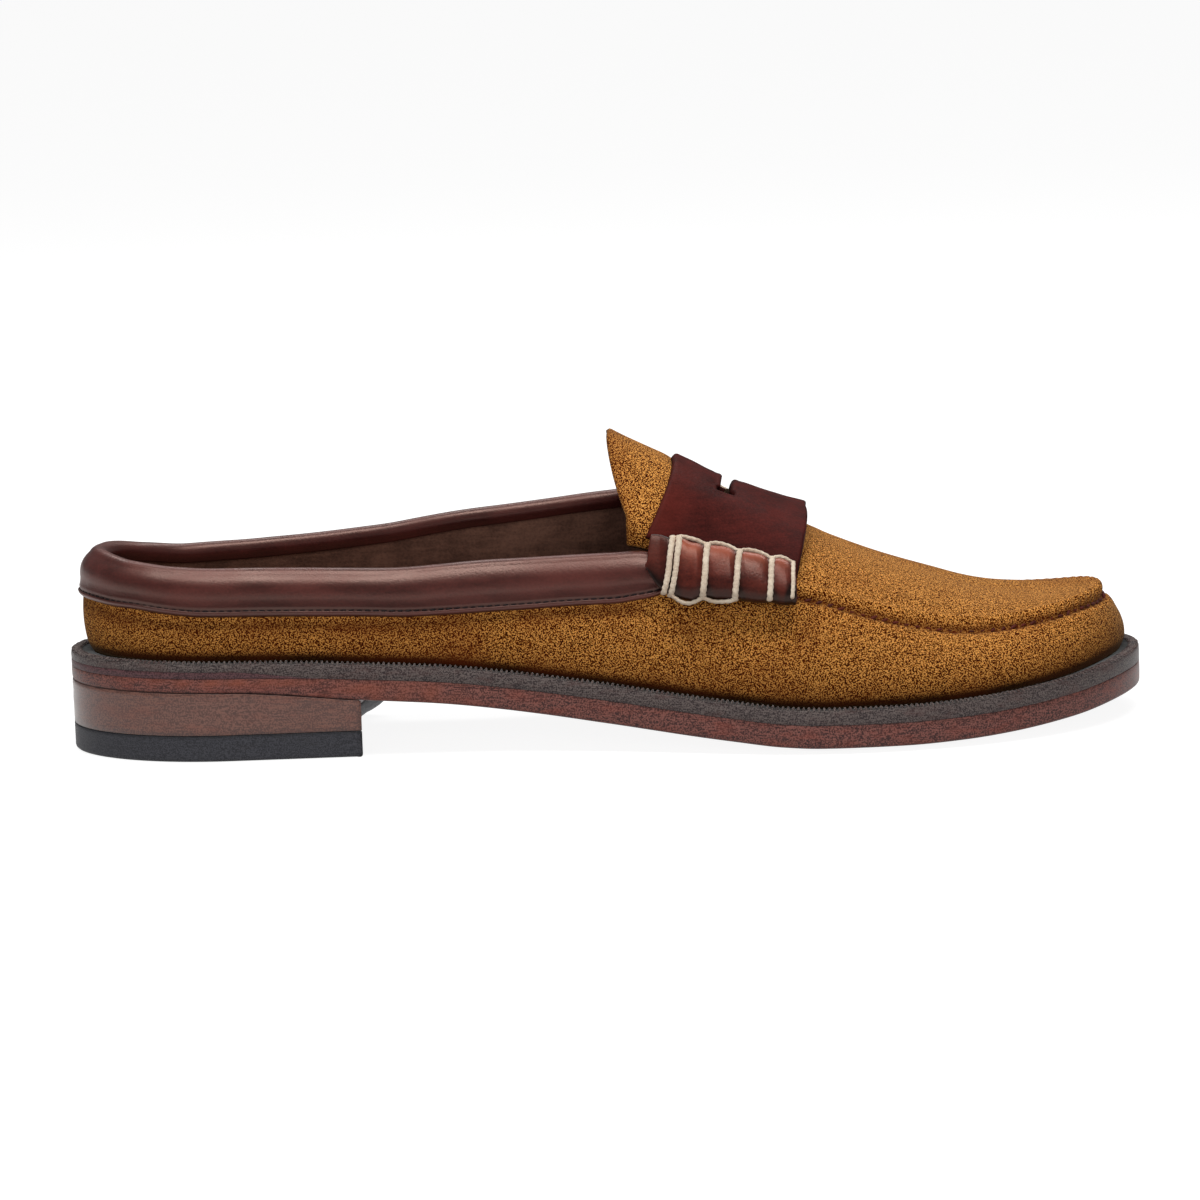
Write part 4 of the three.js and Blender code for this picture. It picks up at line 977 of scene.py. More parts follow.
def upper_skin(way_count, front_count, wall_rows, dome_rows, lining=False):
    """Open skin of the upper: points, faces and marks."""
    turn = float(way_of(APRON_BACK - 0.012))
    back = np.linspace(-turn, turn, way_count, endpoint=False)
    front = np.linspace(turn, 2 - turn, front_count + 1)
    wall_row, dome_row = skin_rows(wall_rows, dome_rows)
    w, r = np.meshgrid(np.concatenate([back, front[:-1]]), wall_row, indexing="ij")
    fw, fr = np.meshgrid(front, dome_row, indexing="ij")
    wall, dome = wall_point(w, r), dome_point(fw, fr)
    rise = by_side(rise_lateral, rise_medial, w)
    if not lining:
        lift = rise * r
        wall[..., :2] += inward_of(w[:, 0])[:, None, :] * (1.3 * np.exp(-lift / 1.1))[..., None]
        wall[..., 2] -= 0.7 * np.exp(-lift / 0.6)
    reach = np.linalg.norm((dome - dome[:, :1])[..., :2], axis=-1)
    wall_normal = grid_normals(wall, closed=True)
    dome_normal = grid_normals(dome)
    dome_normal[:, -1] = unit(dome_normal[:, -1] + dome_normal[::-1, -1])
    if lining:
        wall_out, dome_out = -LINING_DEPTH, -LINING_DEPTH
    else:
        below = -(1 - r) * np.hypot(rise, 6.0)
        wall_out = (seam_relief(w, below) + wall_relief(w, r, rise))[..., None]
        step = SEAM_STEP * apron_step(share(fw)) * (1 - band(share(fw), 1, 0.03))
        softened = np.exp(-reach / SEAM_ROUND) - np.exp(-reach / SOFT_SEAM_ROUND)
        dome[..., 2] += step * SEAM_SOFTENING * softened
        dome_out = (seam_relief(fw, reach) * (fr < 1))[..., None]
    wall = wall + wall_normal * wall_out
    dome = dome + dome_normal * dome_out
    dome[:, 0] = np.concatenate([wall, wall[:1]])[way_count:way_count + front_count + 1, -1]

    index = numbered(wall.shape)
    faces = grid_faces(index, round_along=True) + grid_faces(numbered(dome.shape, index.size))
    wall_shade, wall_warm = wall_marks(w, r, rise)
    at = share(fw)
    # Painted shade beside the seam and along a faint crease up the apron.
    dome_shade = (band(reach, 0, 0.4, 0.4) * ramp(at, 0.6, 0.03)
                  + band(reach, 6.5, 2.5, 0.08) * ramp(at, 0.66, 0.05))
    if not lining:
        # Painted shadow on the apron under the strap's slot.
        dome_shade = dome_shade + band(dome[..., 0], SLOT_PLACE * LENGTH, 6.0)
    # Painted reddish shade along the seam.
    dome_warm = band(reach, 0, 0.8, 0.35) * ramp(at, 0.62, 0.03)
    marks = {"shade": np.clip(np.concatenate([wall_shade.ravel(), dome_shade.ravel()]), 0, 1),
             "warm": np.clip(np.concatenate([wall_warm.ravel(), dome_warm.ravel()]), 0, 1)}
    return np.concatenate([wall.reshape(-1, 3), dome.reshape(-1, 3)]), faces, marks


def make_upper():
    points, faces, marks = upper_skin(300, 380, 34, 36)
    make_piece("upper_suede", points, faces, suede, "upper", marks, wall=SUEDE_THICKNESS)
    points, faces, marks = upper_skin(120, 150, 16, 16, lining=True)
    # The lining takes the skin's painted shade, a little weaker.
    make_piece("upper_lining", points, faces, lining_leather, None,
               {"shade": marks["shade"] * 0.8}, wall=LINING_THICKNESS)


# Tongue and saddle lie over the instep, from the outer side (0) over the crest (1) to the inner side (2)
def ease_to_crest(climb):
    return 1 - (1 - climb) ** 2


def instep_points(at, row, inner):
    return dome_point(way_of(at, inner), row)


def instep_grid(back_edge, front_edge, root, along, over):
    """Points over the instep; along and over are grids, 0 to 1 and 0 to 2."""
    climb = 1 - np.abs(1 - over)
    at = mix(back_edge(climb), front_edge(climb), along)
    base = root(along)
    return instep_points(at, base + (1 - base) * climb, over > 1), at, climb


def smooth_crest(points, over, width=0.12):
    """Blends the two sides of an instep grid across the crest so that it has no ridge."""
    soft = points.copy()
    for _ in range(6):
        middle = soft[:, 1:-1] * 0.5 + (soft[:, :-2] + soft[:, 2:]) * 0.25
        amount = near(over[:, 1:-1] - 1, width)[..., None]
        soft[:, 1:-1] = mix(soft[:, 1:-1], middle, amount)
    return soft


def make_tongue():
    """Suede tongue, its back edge rounded, its sides tucked down inside the quarters."""
    foot_lead, tuck_out, hidden_from = 0.0048, 0.3, 18.5
    t = np.linspace(0, 1, 56)
    t = 0.7 * t + 0.3 * t ** 2
    along, across = np.meshgrid(t, np.linspace(0, 2, 91), indexing="ij")

    def back_edge(climb):
        return mix(TONGUE_FOOT, TONGUE_TIP, 1 - (1 - climb) ** 4) - foot_lead * (1 - climb ** 4)

    def front_edge(climb):
        return np.full_like(climb, APRON_BACK - 0.002)

    def root(along):
        return mix(TONGUE_ROOT_BACK, TONGUE_ROOT_FRONT, np.minimum(1, 2.5 * along))

    points, at, climb = instep_grid(back_edge, front_edge, root, along, across)
    points = smooth_crest(points, across)
    normal = grid_normals(points)
    from_back = (at - at[:1]) * LENGTH
    rounded = quarter_round(from_back / TONGUE_EDGE_ROUND)
    under_strap = ramp(at, SADDLE_BACK_CREST - 0.005, 0.02)
    puff = band(at, SADDLE_BACK_CREST - 0.008, 0.01, 0.35) * climb
    soft = 0.12 * ripple(at * 60, across * 5, seed=21) * (1 - under_strap)
    dent = (1.2 * under_strap + band(at, SLOT_PLACE, 0.026, 2.8)) * climb ** 0.6
    outer = points + normal * ((rounded - 1) * 0.9 + puff + soft - dent)[..., None]
    inner = points - normal * (TONGUE_THICKNESS - 0.3 - 0.6 * (1 - rounded) + dent)[..., None]

    def with_sides(grid):
        return np.concatenate([grid[:, :1], grid, grid[:, -1:]], axis=1)

    def tucked(grid):
        wide = with_sides(grid)
        wide[:, 0, 1] -= tuck_out
        wide[:, -1, 1] += tuck_out
        wide[:, [0, -1], 2] -= (TONGUE_TUCK + TONGUE_CORNER_DROP * np.clip(1 - t / 0.25, 0, 1))[:, None]
        return wide

    sections = np.concatenate([tucked(outer), tucked(inner)[:, ::-1]], axis=1)
    edge_wide, at_wide = with_sides(from_back), with_sides(at)
    # Darker along the back edge; painted shade under the strap, beneath the slot and over the hidden
    # underside.
    shade = band(edge_wide, 0, 0.9, 0.25) + 0.9 * ramp(edge_wide, hidden_from, 3)
    shade = shade + band(at_wide, SLOT_PLACE, 0.018, 0.9)
    warm = band(at_wide, TONGUE_TIP, 0.012, 0.25)
    make_piece("tongue_suede", sections, swept(sections, False), suede, "tongue",
               {"shade": np.clip(np.concatenate([shade, np.full_like(shade, 0.9)], axis=1), 0, 1),
                "warm": np.concatenate([warm, np.zeros_like(warm)], axis=1)})


def saddle_back(climb):
    return mix(SADDLE_BACK_SIDE - 0.0045, SADDLE_BACK_CREST - 0.0025, ease_to_crest(climb))


def saddle_front(climb):
    return mix(SADDLE_FRONT_SIDE, SADDLE_FRONT_CREST, ease_to_crest(climb))


def slot_line(over, off):
    """Share along the shoe, at each step over the strap, where it lies straight across at the slot."""
    shares = np.linspace(0.56, 0.66, 60)
    where = []
    turned = mix(-0.8, 0.8, np.clip((over - SLOT_NEAR) / (SLOT_FAR - SLOT_NEAR), 0, 1))
    for o, shift in zip(over, turned + off):
        row = SADDLE_ROOT + (1 - SADDLE_ROOT) * (1 - abs(1 - o))
        line = instep_points(shares, np.full_like(shares, row), np.full(shares.shape, o > 1))
        where.append(np.interp(SLOT_PLACE * LENGTH + shift - SLOT_SET_BACK, line[:, 0], shares))
    return np.array(where)


def saddle_grid(over, rows_back, rows_slot):
    """Rows of the strap as shares from its back edge to its front, with the slot between two of them."""
    ends = np.linspace(0, 1, rows_back + 1)
    lead = (0.35 * ends + 0.65 * (0.5 - 0.5 * np.cos(np.pi * ends)))[:, None]
    climb = 1 - np.abs(1 - over)
    beyond = np.maximum(0, np.maximum(SLOT_NEAR - over, over - SLOT_FAR))
    to_end = np.minimum(np.abs(over - SLOT_NEAR), np.abs(over - SLOT_FAR))
    flare = np.where(to_end < 0.05, SLOT_FLARE - SLOT_WIDTH, 0)
    width = (SLOT_WIDTH - 0.4 + flare * 0.7) * np.maximum(near(beyond, 0.06), 0.25)
    span = saddle_front(climb) - saddle_back(climb)
    slot_start = (slot_line(over, -width / 2) - saddle_back(climb)) / span
    slot_end = (slot_line(over, width / 2) - saddle_back(climb)) / span
    within = np.linspace(0, 1, rows_slot + 1)[1:-1, None]
    return np.concatenate([lead * slot_start, mix(slot_start, slot_end, within), mix(slot_end, 1.0, lead)])


def holed_sheet(shape, row_a, row_b, first, last):
    """Faces of a sheet with two skins and a rim, and a rimmed hole between two rows and two columns."""
    rows, columns = shape
    index = numbered(shape)
    below = numbered(shape, rows * columns)
    faces = []
    for i in range(rows - 1):
        for k in range(columns - 1):
            if row_a <= i < row_b and first <= k < last:
                continue
            faces.append([index[i, k], index[i + 1, k], index[i + 1, k + 1], index[i, k + 1]])
            faces.append([below[i, k], below[i, k + 1], below[i + 1, k + 1], below[i + 1, k]])
    walks = ([(i, 0) for i in range(rows - 1, -1, -1)], [(0, k) for k in range(columns)],
             [(i, columns - 1) for i in range(rows)], [(rows - 1, k) for k in range(columns - 1, -1, -1)],
             [(i, first) for i in range(row_a, row_b + 1)], [(row_b, k) for k in range(first, last + 1)],
             [(i, last) for i in range(row_b, row_a - 1, -1)],
             [(row_a, k) for k in range(last, first - 1, -1)])
    for walk in walks:
        for a, b in zip(walk[:-1], walk[1:]):
            faces.append([index[a], index[b], below[b], below[a]])
    return faces


def make_saddle():
    """Strap with rounded edges and the coin slot across its crest, as one closed sheet."""
    rows_back, rows_slot, mm_per_over = 34, 5, 30
    side = np.linspace(0, 1, 46)
    middle = np.linspace(0, 1, 40)
    over = np.concatenate([side ** 0.85 * SLOT_NEAR, mix(SLOT_NEAR, SLOT_FAR, middle[1:]),
                           2 - (side ** 0.85 * (2 - SLOT_FAR))[::-1][1:]])
    first, last = len(side) - 1, len(over) - len(side)
    row_a, row_b = rows_back, rows_back + rows_slot
    t = saddle_grid(over, rows_back, rows_slot)
    across = np.broadcast_to(over, t.shape)
    points, at, climb = instep_grid(saddle_back, saddle_front, lambda t: np.full_like(t, SADDLE_ROOT),
                                    t, across)
    points = smooth_crest(points, across)
    normal = unit(smooth_crest(grid_normals(points), across, 0.3))

    from_back = (at - at[:1]) * LENGTH
    from_front = (at[-1:] - at) * LENGTH
    from_slot = np.maximum(at[row_a:row_a + 1] - at, at - at[row_b:row_b + 1]) * LENGTH
    to_slot_end = np.maximum(0, np.maximum(over[first] - across, across - over[last])) * mm_per_over
    slot_edge = np.hypot(np.maximum(from_slot, 0), to_slot_end)
    edge = np.minimum(np.minimum(from_back, from_front), slot_edge)
    rounded = quarter_round(edge / SADDLE_EDGE_ROUND)

    under = 1.2 * CLEARANCE + SADDLE_STANDOFF * t ** 1.2 * ease_to_crest(climb) ** 2
    thickness = SADDLE_THICKNESS - SADDLE_SKIVE * (1 - t) ** 3
    grainy = 0.1 * ripple(at * 140, across * 4, seed=31) + 0.12 * ripple(at * 50, across * 7, seed=32)
    top = under + thickness * (0.45 + 0.55 * rounded) + grainy * rounded
    sunk = band(slot_edge, 1.6, 1.0, 0.15)
    far_dip = band(at, SLOT_PLACE, 0.035, 2.2) * band(across, SLOT_FAR, 0.3)
    outer = points + normal * (top - sunk - far_dip)[..., None]
    inner = points + normal * (under + 0.15 * (1 - rounded) - far_dip)[..., None]

    # Darker at the edges; painted shade low on the sides, towards the rolls, and over the whole underside.
    shade = (band(edge, 0, 0.5, 0.55) + 0.3 * np.clip(1 - climb / 0.35, 0, 1)).ravel()
    warm = (band(from_back, 0, 6.0, 0.25) * np.clip(1.2 - climb, 0, 1)).ravel()
    make_piece("saddle_strap", np.concatenate([outer.reshape(-1, 3), inner.reshape(-1, 3)]),
               holed_sheet(t.shape, row_a, row_b, first, last), strap_leather, "saddle",
               {"shade": np.clip(np.concatenate([shade, np.ones_like(shade)]), 0, 1),
                "warm": np.concatenate([warm, np.zeros_like(warm)])})


# Beef rolls
def wall_directions(way, top, lower):
    """Directions along the top of the wall and up it, from two points of it, and outward from both."""
    step = 0.004
    up = unit(top - lower)
    onward = wall_point(way + step, np.ones_like(way)) - wall_point(way - step, np.ones_like(way))
    return unit(np.cross(onward, up)), up


ROLL_AT = [FLAP_BACK, 0.533, 0.535, 0.54, 0.5467, 0.5535, 0.5812, ROLL_FRONT]
roll_top = curve(ROLL_AT, [-2.1, 2.8, 6.2, 6.7, 7.1, 7.8, 8.5, 6.6])
roll_bottom = curve(ROLL_AT, [-3.8, -5.1, -6.4, -8.8, -10.0, -9.6, -7.4, -6.7])
roll_half_depth = curve(ROLL_AT, [0.7, 0.8, 0.9, 1.2, 2.4, 3.5, 4.1, 3.5])


def pinch(at):
    """How far a wrap draws the roll in, 1 at a wrap and 0 between."""
    away = np.min(np.abs(np.asarray(at)[..., None] - WRAP_PLACES), axis=-1) * LENGTH
    return near(away, WRAP_WIDTH)


def squared(value):
    return np.sign(value) * np.abs(value) ** ROLL_SQUARENESS


def roll_point(at, angle, inner, out=0.0):
    """Point of the roll's skin; the angle is 0 outward and turns up to a quarter at the top."""
    at, angle = np.broadcast_arrays(np.asarray(at, float), np.asarray(angle, float))
    way = way_of(at, inner)
    foot = wall_point(way, np.ones_like(way))
    outward, up = wall_directions(way, dome_point(way, np.full_like(way, 0.16)),
                                  wall_point(way, np.full_like(way, 0.85)))
    top, bottom, half_depth = roll_top(at), roll_bottom(at), roll_half_depth(at)
    drawn = pinch(at)
    half_height = (top - bottom) / 2 * (1 - 0.05 * drawn)
    cosine, sine = np.cos(angle), np.sin(angle)
    centre = SADDLE_THICKNESS + 2 * CLEARANCE + half_depth
    depth = np.where(cosine > 0, half_depth * (1 - 0.2 * drawn), half_depth)
    return foot + outward * (centre + depth * squared(cosine) + out * cosine)[..., None] \
        + up * ((top + bottom) / 2 + half_height * squared(sine) + out * sine)[..., None]


# Ends of a roll as rings: their size and how far back from the last section they lie
ROLL_BACK_RINGS = ((0.4, 0.35), (0.85, 0.2))
ROLL_MOUTH_RINGS = ((0.97, -0.25), (0.9, -0.1), (0.78, 0.35), (0.68, 1.6), (0.6, 3.4))
# Painted shade inside the open mouth, ring by ring.
ROLL_MOUTH_SHADES = (0.15, 0.45, 0.9, 1.0, 1.0)


def make_roll(name, node, inner):
    """One end of the strap, rolled up and drawn in by its wraps, with an open mouth in front."""
    at = np.concatenate([np.linspace(FLAP_BACK, WRAP_PLACES[0], 40)[:-1],
                         np.linspace(WRAP_PLACES[0], ROLL_FRONT, 130)])
    grid_at, angle = np.meshgrid(at, np.linspace(0, 2 * np.pi, 56, endpoint=False), indexing="ij")
    sine, drawn = np.sin(angle), pinch(grid_at)
    points = roll_point(grid_at, angle, inner)
    centre = points.mean(axis=1, keepdims=True)
    worn = 0.16 * ripple(grid_at * 260, np.cos(angle) * 1.5, sine * 1.5, seed=41 + inner) * (1 - drawn)
    wrinkle = 0.1 * ripple(grid_at * 900, angle * 1.2, seed=43 + inner) * band(drawn, 0.45, 0.3)
    points = points + unit(points - centre) * (worn + wrinkle)[..., None]
    forward = unit(centre[-1] - centre[-4])

    def end_rings(section, rings):
        return [mix(centre[section], points[section], size) - forward * back for size, back in rings]

    sections = np.stack(end_rings(0, ROLL_BACK_RINGS) + list(points) + end_rings(-1, ROLL_MOUTH_RINGS))
    # Painted shade in the wraps' pinches, under the roll, along its top and in its mouth; the flap and the
    # back end are drawn darker.
    beneath = 0.45 * np.clip(-sine, 0, 1) + band(sine, -1, 0.35, 0.4)
    mouth = 0.9 * ramp(grid_at, 0.652, 0.006) * np.clip(-0.2 - 2 * sine, 0, 1)
    shade = 0.6 * drawn + 0.4 * (grid_at < WRAP_PLACES[0]) + beneath + band(sine, 1, 0.12, 0.5) + mouth
    # Painted highlight: the warm mark lightens the upper part of each segment between the wraps.
    warm = 0.65 * (1 - drawn) * band(angle, 0.8, 0.5) * (grid_at > WRAP_PLACES[0])
    back = np.zeros((len(ROLL_BACK_RINGS), angle.shape[1]))
    front = np.zeros((len(ROLL_MOUTH_RINGS), angle.shape[1]))
    mouth_shade = by_level(ROLL_MOUTH_SHADES, front.shape)
    make_piece(name, sections, swept(sections, False), roll_leather, node,
               {"shade": np.concatenate([back + 0.3, np.clip(shade, 0, 1), mouth_shade]),
                "warm": np.concatenate([back, warm, front])})


def rope(path, width, thick, ups, twist=3.4, corners=12):
    """A two-ply thread along a path; returns its closed sections."""
    along = unit(np.gradient(path, axis=0))
    side = unit(np.cross(along, ups))
    up = unit(np.cross(side, along))
    length = np.concatenate([[0], np.cumsum(np.linalg.norm(np.diff(path, axis=0), axis=1))])
    turn, run = np.meshgrid(np.linspace(0, 2 * np.pi, corners, endpoint=False), length)
    ply = 1 + 0.1 * np.cos(2 * (turn - 2 * np.pi * run / twist))
    to_end = np.clip(np.minimum(run, run[-1:] - run) / (0.45 * width), 0, 1)
    size = ply * np.sqrt(np.clip(1 - (1 - to_end) ** 2, 0.02, 1))
    x = (np.cos(turn) * width / 2 * size)[..., None]
    z = (np.sin(turn) * thick / 2 * size)[..., None]
    return path[:, None] + side[:, None] * x + up[:, None] * z


# Thread of each wrap: its wrap, offset from its place, width, lean forward at the top, angles from and to
WRAPS = [(0, -0.72, 1.75, 1.0, -100, 84), (0, 0.72, 1.75, 1.0, -100, 84), (1, 0.0, 1.75, 0.8, -98, 84),
         (2, 0.0, 1.7, 0.9, -96, 84), (3, 0.0, 1.6, 0.6, -84, 84), (4, 0.0, 1.15, 0.5, -62, 84)]
WRAP_FLATNESS = 0.66
# Arcs from wrap to wrap: first and last wrap, angle, swell away from the roll, offset of both ends
ARCS = [(0, 1, 84, 0.9, 1.6, 0.8), (1, 2, 84, 0.6, 1.0, 0.7), (2, 3, 84, 0.7, 1.1, 0.6),
        (3, 4, 84, 0.6, 0.9, 0.5), (0, 1, -92, 0.8, -0.4, -1.0), (1, 2, -92, 0.6, -0.8, -0.9)]
ARC_WIDTH = 1.4
ARC_THICKNESS = 1.1
INSIDE_ROLL = -3.0


def with_ends(values):
    return np.concatenate([values[:1], values, values[-1:]])


def wrap_thread(inner, wrap, offset, width, lean, low, high):
    """Thread drawn round the roll, its ends sunk into it."""
    angle = with_ends(np.radians(np.linspace(low, high, 44)))
    place = WRAP_PLACES[wrap] + (offset + lean * np.sin(angle)) / LENGTH
    thick = width * WRAP_FLATNESS
    out = np.full(len(angle), thick * 0.18)
    out[[0, -1]] = -1.0
    path = roll_point(place, angle, inner, out)
    return rope(path, width, thick, unit(path - roll_point(place, angle, inner, INSIDE_ROLL)))


def arc_thread(inner, first, last, degrees, swell, start, end):
    """Thread from one wrap to the next along the roll's top or foot."""
    angle = math.radians(degrees)
    across = np.linspace(0, 1, 26)
    place = mix(WRAP_PLACES[first] + start / LENGTH, WRAP_PLACES[last] + end / LENGTH, across)
    lift = np.clip(np.minimum(across, 1 - across) / 0.1, 0, 1)
    path = roll_point(place, angle - math.copysign(0.12, angle) * (1 - lift), inner,
                      0.2 + swell * np.sin(np.pi * across ** 0.8))
    return rope(path, ARC_WIDTH, ARC_THICKNESS, unit(path - roll_point(place, angle, inner, INSIDE_ROLL)))


def make_roll_thread(name, inner):
    bodies = [wrap_thread(inner, *wrap) for wrap in WRAPS] + [arc_thread(inner, *arc) for arc in ARCS]
    faces, base = [], 0
    for body in bodies:
        faces += [[corner + base for corner in face] for face in swept(body, False)]
        base += body.shape[0] * body.shape[1]
    make_piece(name, np.concatenate([body.reshape(-1, 3) for body in bodies]), faces, thread_cream)


# Collar binding
binding_depth = curve([0, 0.03, 0.065, 0.13, 0.27, 0.39, 0.47, 0.51, 0.53, 0.54, 0.552],
                      [11.2, 10.7, 10.1, 10.8, 10.6, 11.5, 11.2, 11.2, 10.3, 8.6, 5.6])


def binding_directions(way):
    top = wall_point(way, np.ones_like(way))
    return (top,) + wall_directions(way, top, wall_point(way, np.full_like(way, 0.96)))


def binding_outside(way, lift, extra=0.0):
    """Point of the binding's outer skin at a height above its lower edge."""
    _, outward, _ = binding_directions(way)
    full = binding_depth(share(way))
    depth = np.maximum(full - lift, 0.3)
    row = np.clip(1 - depth / by_side(rise_lateral, rise_medial, way), 0, 1)
    down = np.clip(depth / full, 0, 1)
    padding = 0.75 * np.sin(np.pi * np.clip(down / 0.62, 0, 1)) - band(down, 0.74, 0.12, 0.25)
    groove = band(lift, 0.7, 0.3, 0.15) - band(lift, BINDING_STITCH_RISE, 0.42, 0.55)
    reach = BINDING_FAR - WALL / 2 + padding + groove + extra
    return wall_point(way, row) + outward * reach[..., None]


# Heights of the first rows above the binding's lower edge, and how far in the lowest ones turn
LIP_LIFTS = (0, 0.12, 0.35, 0.7, 1.0, 1.2, 1.35, 1.5, 1.75, 2.1)
LIP_TURN = (-1.1, -0.55, -0.2, -0.02)


def make_binding():
    """Leather folded over the topline: padded outside, wrinkled, with a short leg down the inside."""
    reach = float(way_of(BINDING_RUN_ON))
    ways = np.linspace(-reach, reach, 460)
    at = share(ways)
    full = binding_depth(at)
    top, outward, up = binding_directions(ways)
    centre = top - outward * WALL / 2
    run_on = np.clip((at - BINDING_END) / (BINDING_RUN_ON - BINDING_END), 0, 1)
    folded = 1 - np.clip(run_on * 4, 0, 1)
    bend, leg = np.pi * folded, BINDING_LEG * folded + 0.4

    def plain(value):
        return np.full(len(ways), value)

    def around(radius, turn):
        return centre + (outward * np.cos(turn)[:, None] + up * np.sin(turn)[:, None]) * radius

    def leg_point(radius, length):
        along = -outward * np.sin(bend)[:, None] + up * np.cos(bend)[:, None]
        return around(radius, bend) + along * length[:, None]

    rows, shades = [], []
    lifts = [plain(lift) for lift in LIP_LIFTS]
    lifts += [mix(LIP_LIFTS[-1], full - 0.3, t) for t in np.linspace(0, 1, 24)[1:]]
    for k, lift in enumerate(lifts):
        crease = (0.09 * ripple(ways * 30, lift * 0.1, seed=51)
                  + 0.03 * ripple(ways * 110, lift * 0.12, seed=52))
        rows.append(binding_outside(ways, lift, LIP_TURN[k] if k < len(LIP_TURN) else crease))
        # Painted shade in the stitch groove, in the hollow of the padding and under the turned-in lip.
        stitch_groove_shade = band(lift, BINDING_STITCH_RISE, 0.55, 0.55)
        shades.append(stitch_groove_shade + band(lift / full, 0.24, 0.14, 0.35) + (0.6 if k == 0 else 0))
    # Painted shade deepening over the fold, down the inside leg and over the inner skin.
    for t in np.linspace(0, 1, 16):
        turn = bend * t
        rows.append(around((BINDING_FAR + crease * (1 - t))[:, None], turn))
        shades.append(plain(0.35 * t ** 2))
    for drop, length, shade in ((0, 0.3, 0.35), (0, 0.65, 0.35), (0, 0.93, 0.35), (0.4, 1.0, 0.8)):
        rows.append(leg_point(BINDING_FAR - drop, leg * length))
        shades.append(plain(shade))
    rows += [leg_point(BINDING_NEAR + 0.25, leg), leg_point(BINDING_NEAR, leg * 0.9)]
    rows += [around(BINDING_NEAR, bend * t) for t in np.linspace(1, 0, 10)]
    for t in np.linspace(0.07, 1, 6):
        row = np.clip(1 - full * t / by_side(rise_lateral, rise_medial, ways), 0, 1)
        rows.append(wall_point(ways, row) + outward * (BINDING_NEAR - WALL / 2))
    shades += [plain(0.9)] * (len(rows) - len(shades))
    sections = np.stack(rows, 1)
    make_piece("collar_binding_leather", sections, swept(sections, False), burgundy,
               "collar_binding", {"shade": np.clip(np.stack(shades, 1), 0, 1)})


# Stitches and welt ridges: beads set along a path by geometry nodes
BEAD_SIZES = {"Pitch": 0.003, "Long": 0.002, "Wide": 0.001, "High": 0.0008, "Lean": 0.0, "Uneven": 0.1}
BEAD_SEGMENTS, BEAD_RINGS = 10, 6


def bead_tree():
    """Beads along a path: each a small ball drawn out along the path, across it and up from the surface."""
    tree = bpy.data.node_groups.new("bead row", "GeometryNodeTree")
    face = tree.interface
    face.new_socket("Geometry", in_out="INPUT", socket_type="NodeSocketGeometry")
    for label, value in BEAD_SIZES.items():
        face.new_socket(label, in_out="INPUT", socket_type="NodeSocketFloat").default_value = value
    face.new_socket("Seed", in_out="INPUT", socket_type="NodeSocketInt")
    face.new_socket("Finish", in_out="INPUT", socket_type="NodeSocketMaterial")
    face.new_socket("Geometry", in_out="OUTPUT", socket_type="NodeSocketGeometry")
    given = tree.nodes.new("NodeGroupInput").outputs

    def add(kind, settings=(), **values):
        """A node with its settings and its inputs, whose names are written with underscores for blanks."""
        node = tree.nodes.new(kind)
        for setting, value in dict(settings).items():
            setattr(node, setting, value)
        for label, value in values.items():
            link_value(tree, node.inputs[label.replace("_", " ")], value)
        return node

    askew_most = 0.6
    path = add("GeometryNodeMeshToCurve")
    link_value(tree, path.inputs[0], given["Geometry"])
    even = add("GeometryNodeResampleCurve", {"mode": "LENGTH"}, Curve=path.outputs[0], Length=given["Pitch"])
    upward = add("GeometryNodeInputNamedAttribute", {"data_type": "FLOAT_VECTOR"}, Name="upward")
    tangent = add("GeometryNodeInputTangent")
    lie = add("FunctionNodeAlignRotationToVector", {"axis": "X"}, Vector=tangent.outputs[0])
    stand = add("FunctionNodeAlignRotationToVector", {"axis": "Z", "pivot_axis": "X"},
                Rotation=lie.outputs[0], Vector=upward.outputs[0])
    askew = add("FunctionNodeRandomValue", {"data_type": "FLOAT"}, Seed=given["Seed"])
    link_value(tree, askew.inputs[2], times(tree, given["Uneven"], -askew_most))
    link_value(tree, askew.inputs[3], times(tree, given["Uneven"], askew_most))
    turn = add("ShaderNodeCombineXYZ", Z=add_math(tree, "ADD", given["Lean"], askew.outputs[1]))
    spin = add("FunctionNodeRotateRotation", {"rotation_space": "LOCAL"}, Rotation=stand.outputs[0],
               Rotate_By=turn.outputs[0])
    ball = add("GeometryNodeMeshUVSphere", Segments=BEAD_SEGMENTS, Rings=BEAD_RINGS, Radius=0.5)
    sizes = add("ShaderNodeCombineXYZ", X=given["Long"], Y=given["Wide"], Z=given["High"])
    fatter = add("FunctionNodeRandomValue", {"data_type": "FLOAT"},
                 Seed=add_math(tree, "ADD", given["Seed"], 7.0))
    link_value(tree, fatter.inputs[2], add_math(tree, "SUBTRACT", 1.0, given["Uneven"]))
    link_value(tree, fatter.inputs[3], 1.0)
    scaled = add("ShaderNodeVectorMath", {"operation": "SCALE"}, Scale=fatter.outputs[1])
    link_value(tree, scaled.inputs[0], sizes.outputs[0])
    beads = add("GeometryNodeInstanceOnPoints", Points=even.outputs[0], Instance=ball.outputs["Mesh"],
                Rotation=spin.outputs[0], Scale=scaled.outputs[0])
    real = add("GeometryNodeRealizeInstances", Geometry=beads.outputs[0])
    paint = add("GeometryNodeSetMaterial", Geometry=real.outputs[0], Material=given["Finish"])
    add("NodeGroupOutput", Geometry=paint.outputs[0])
    return tree


beads_along = bead_tree()


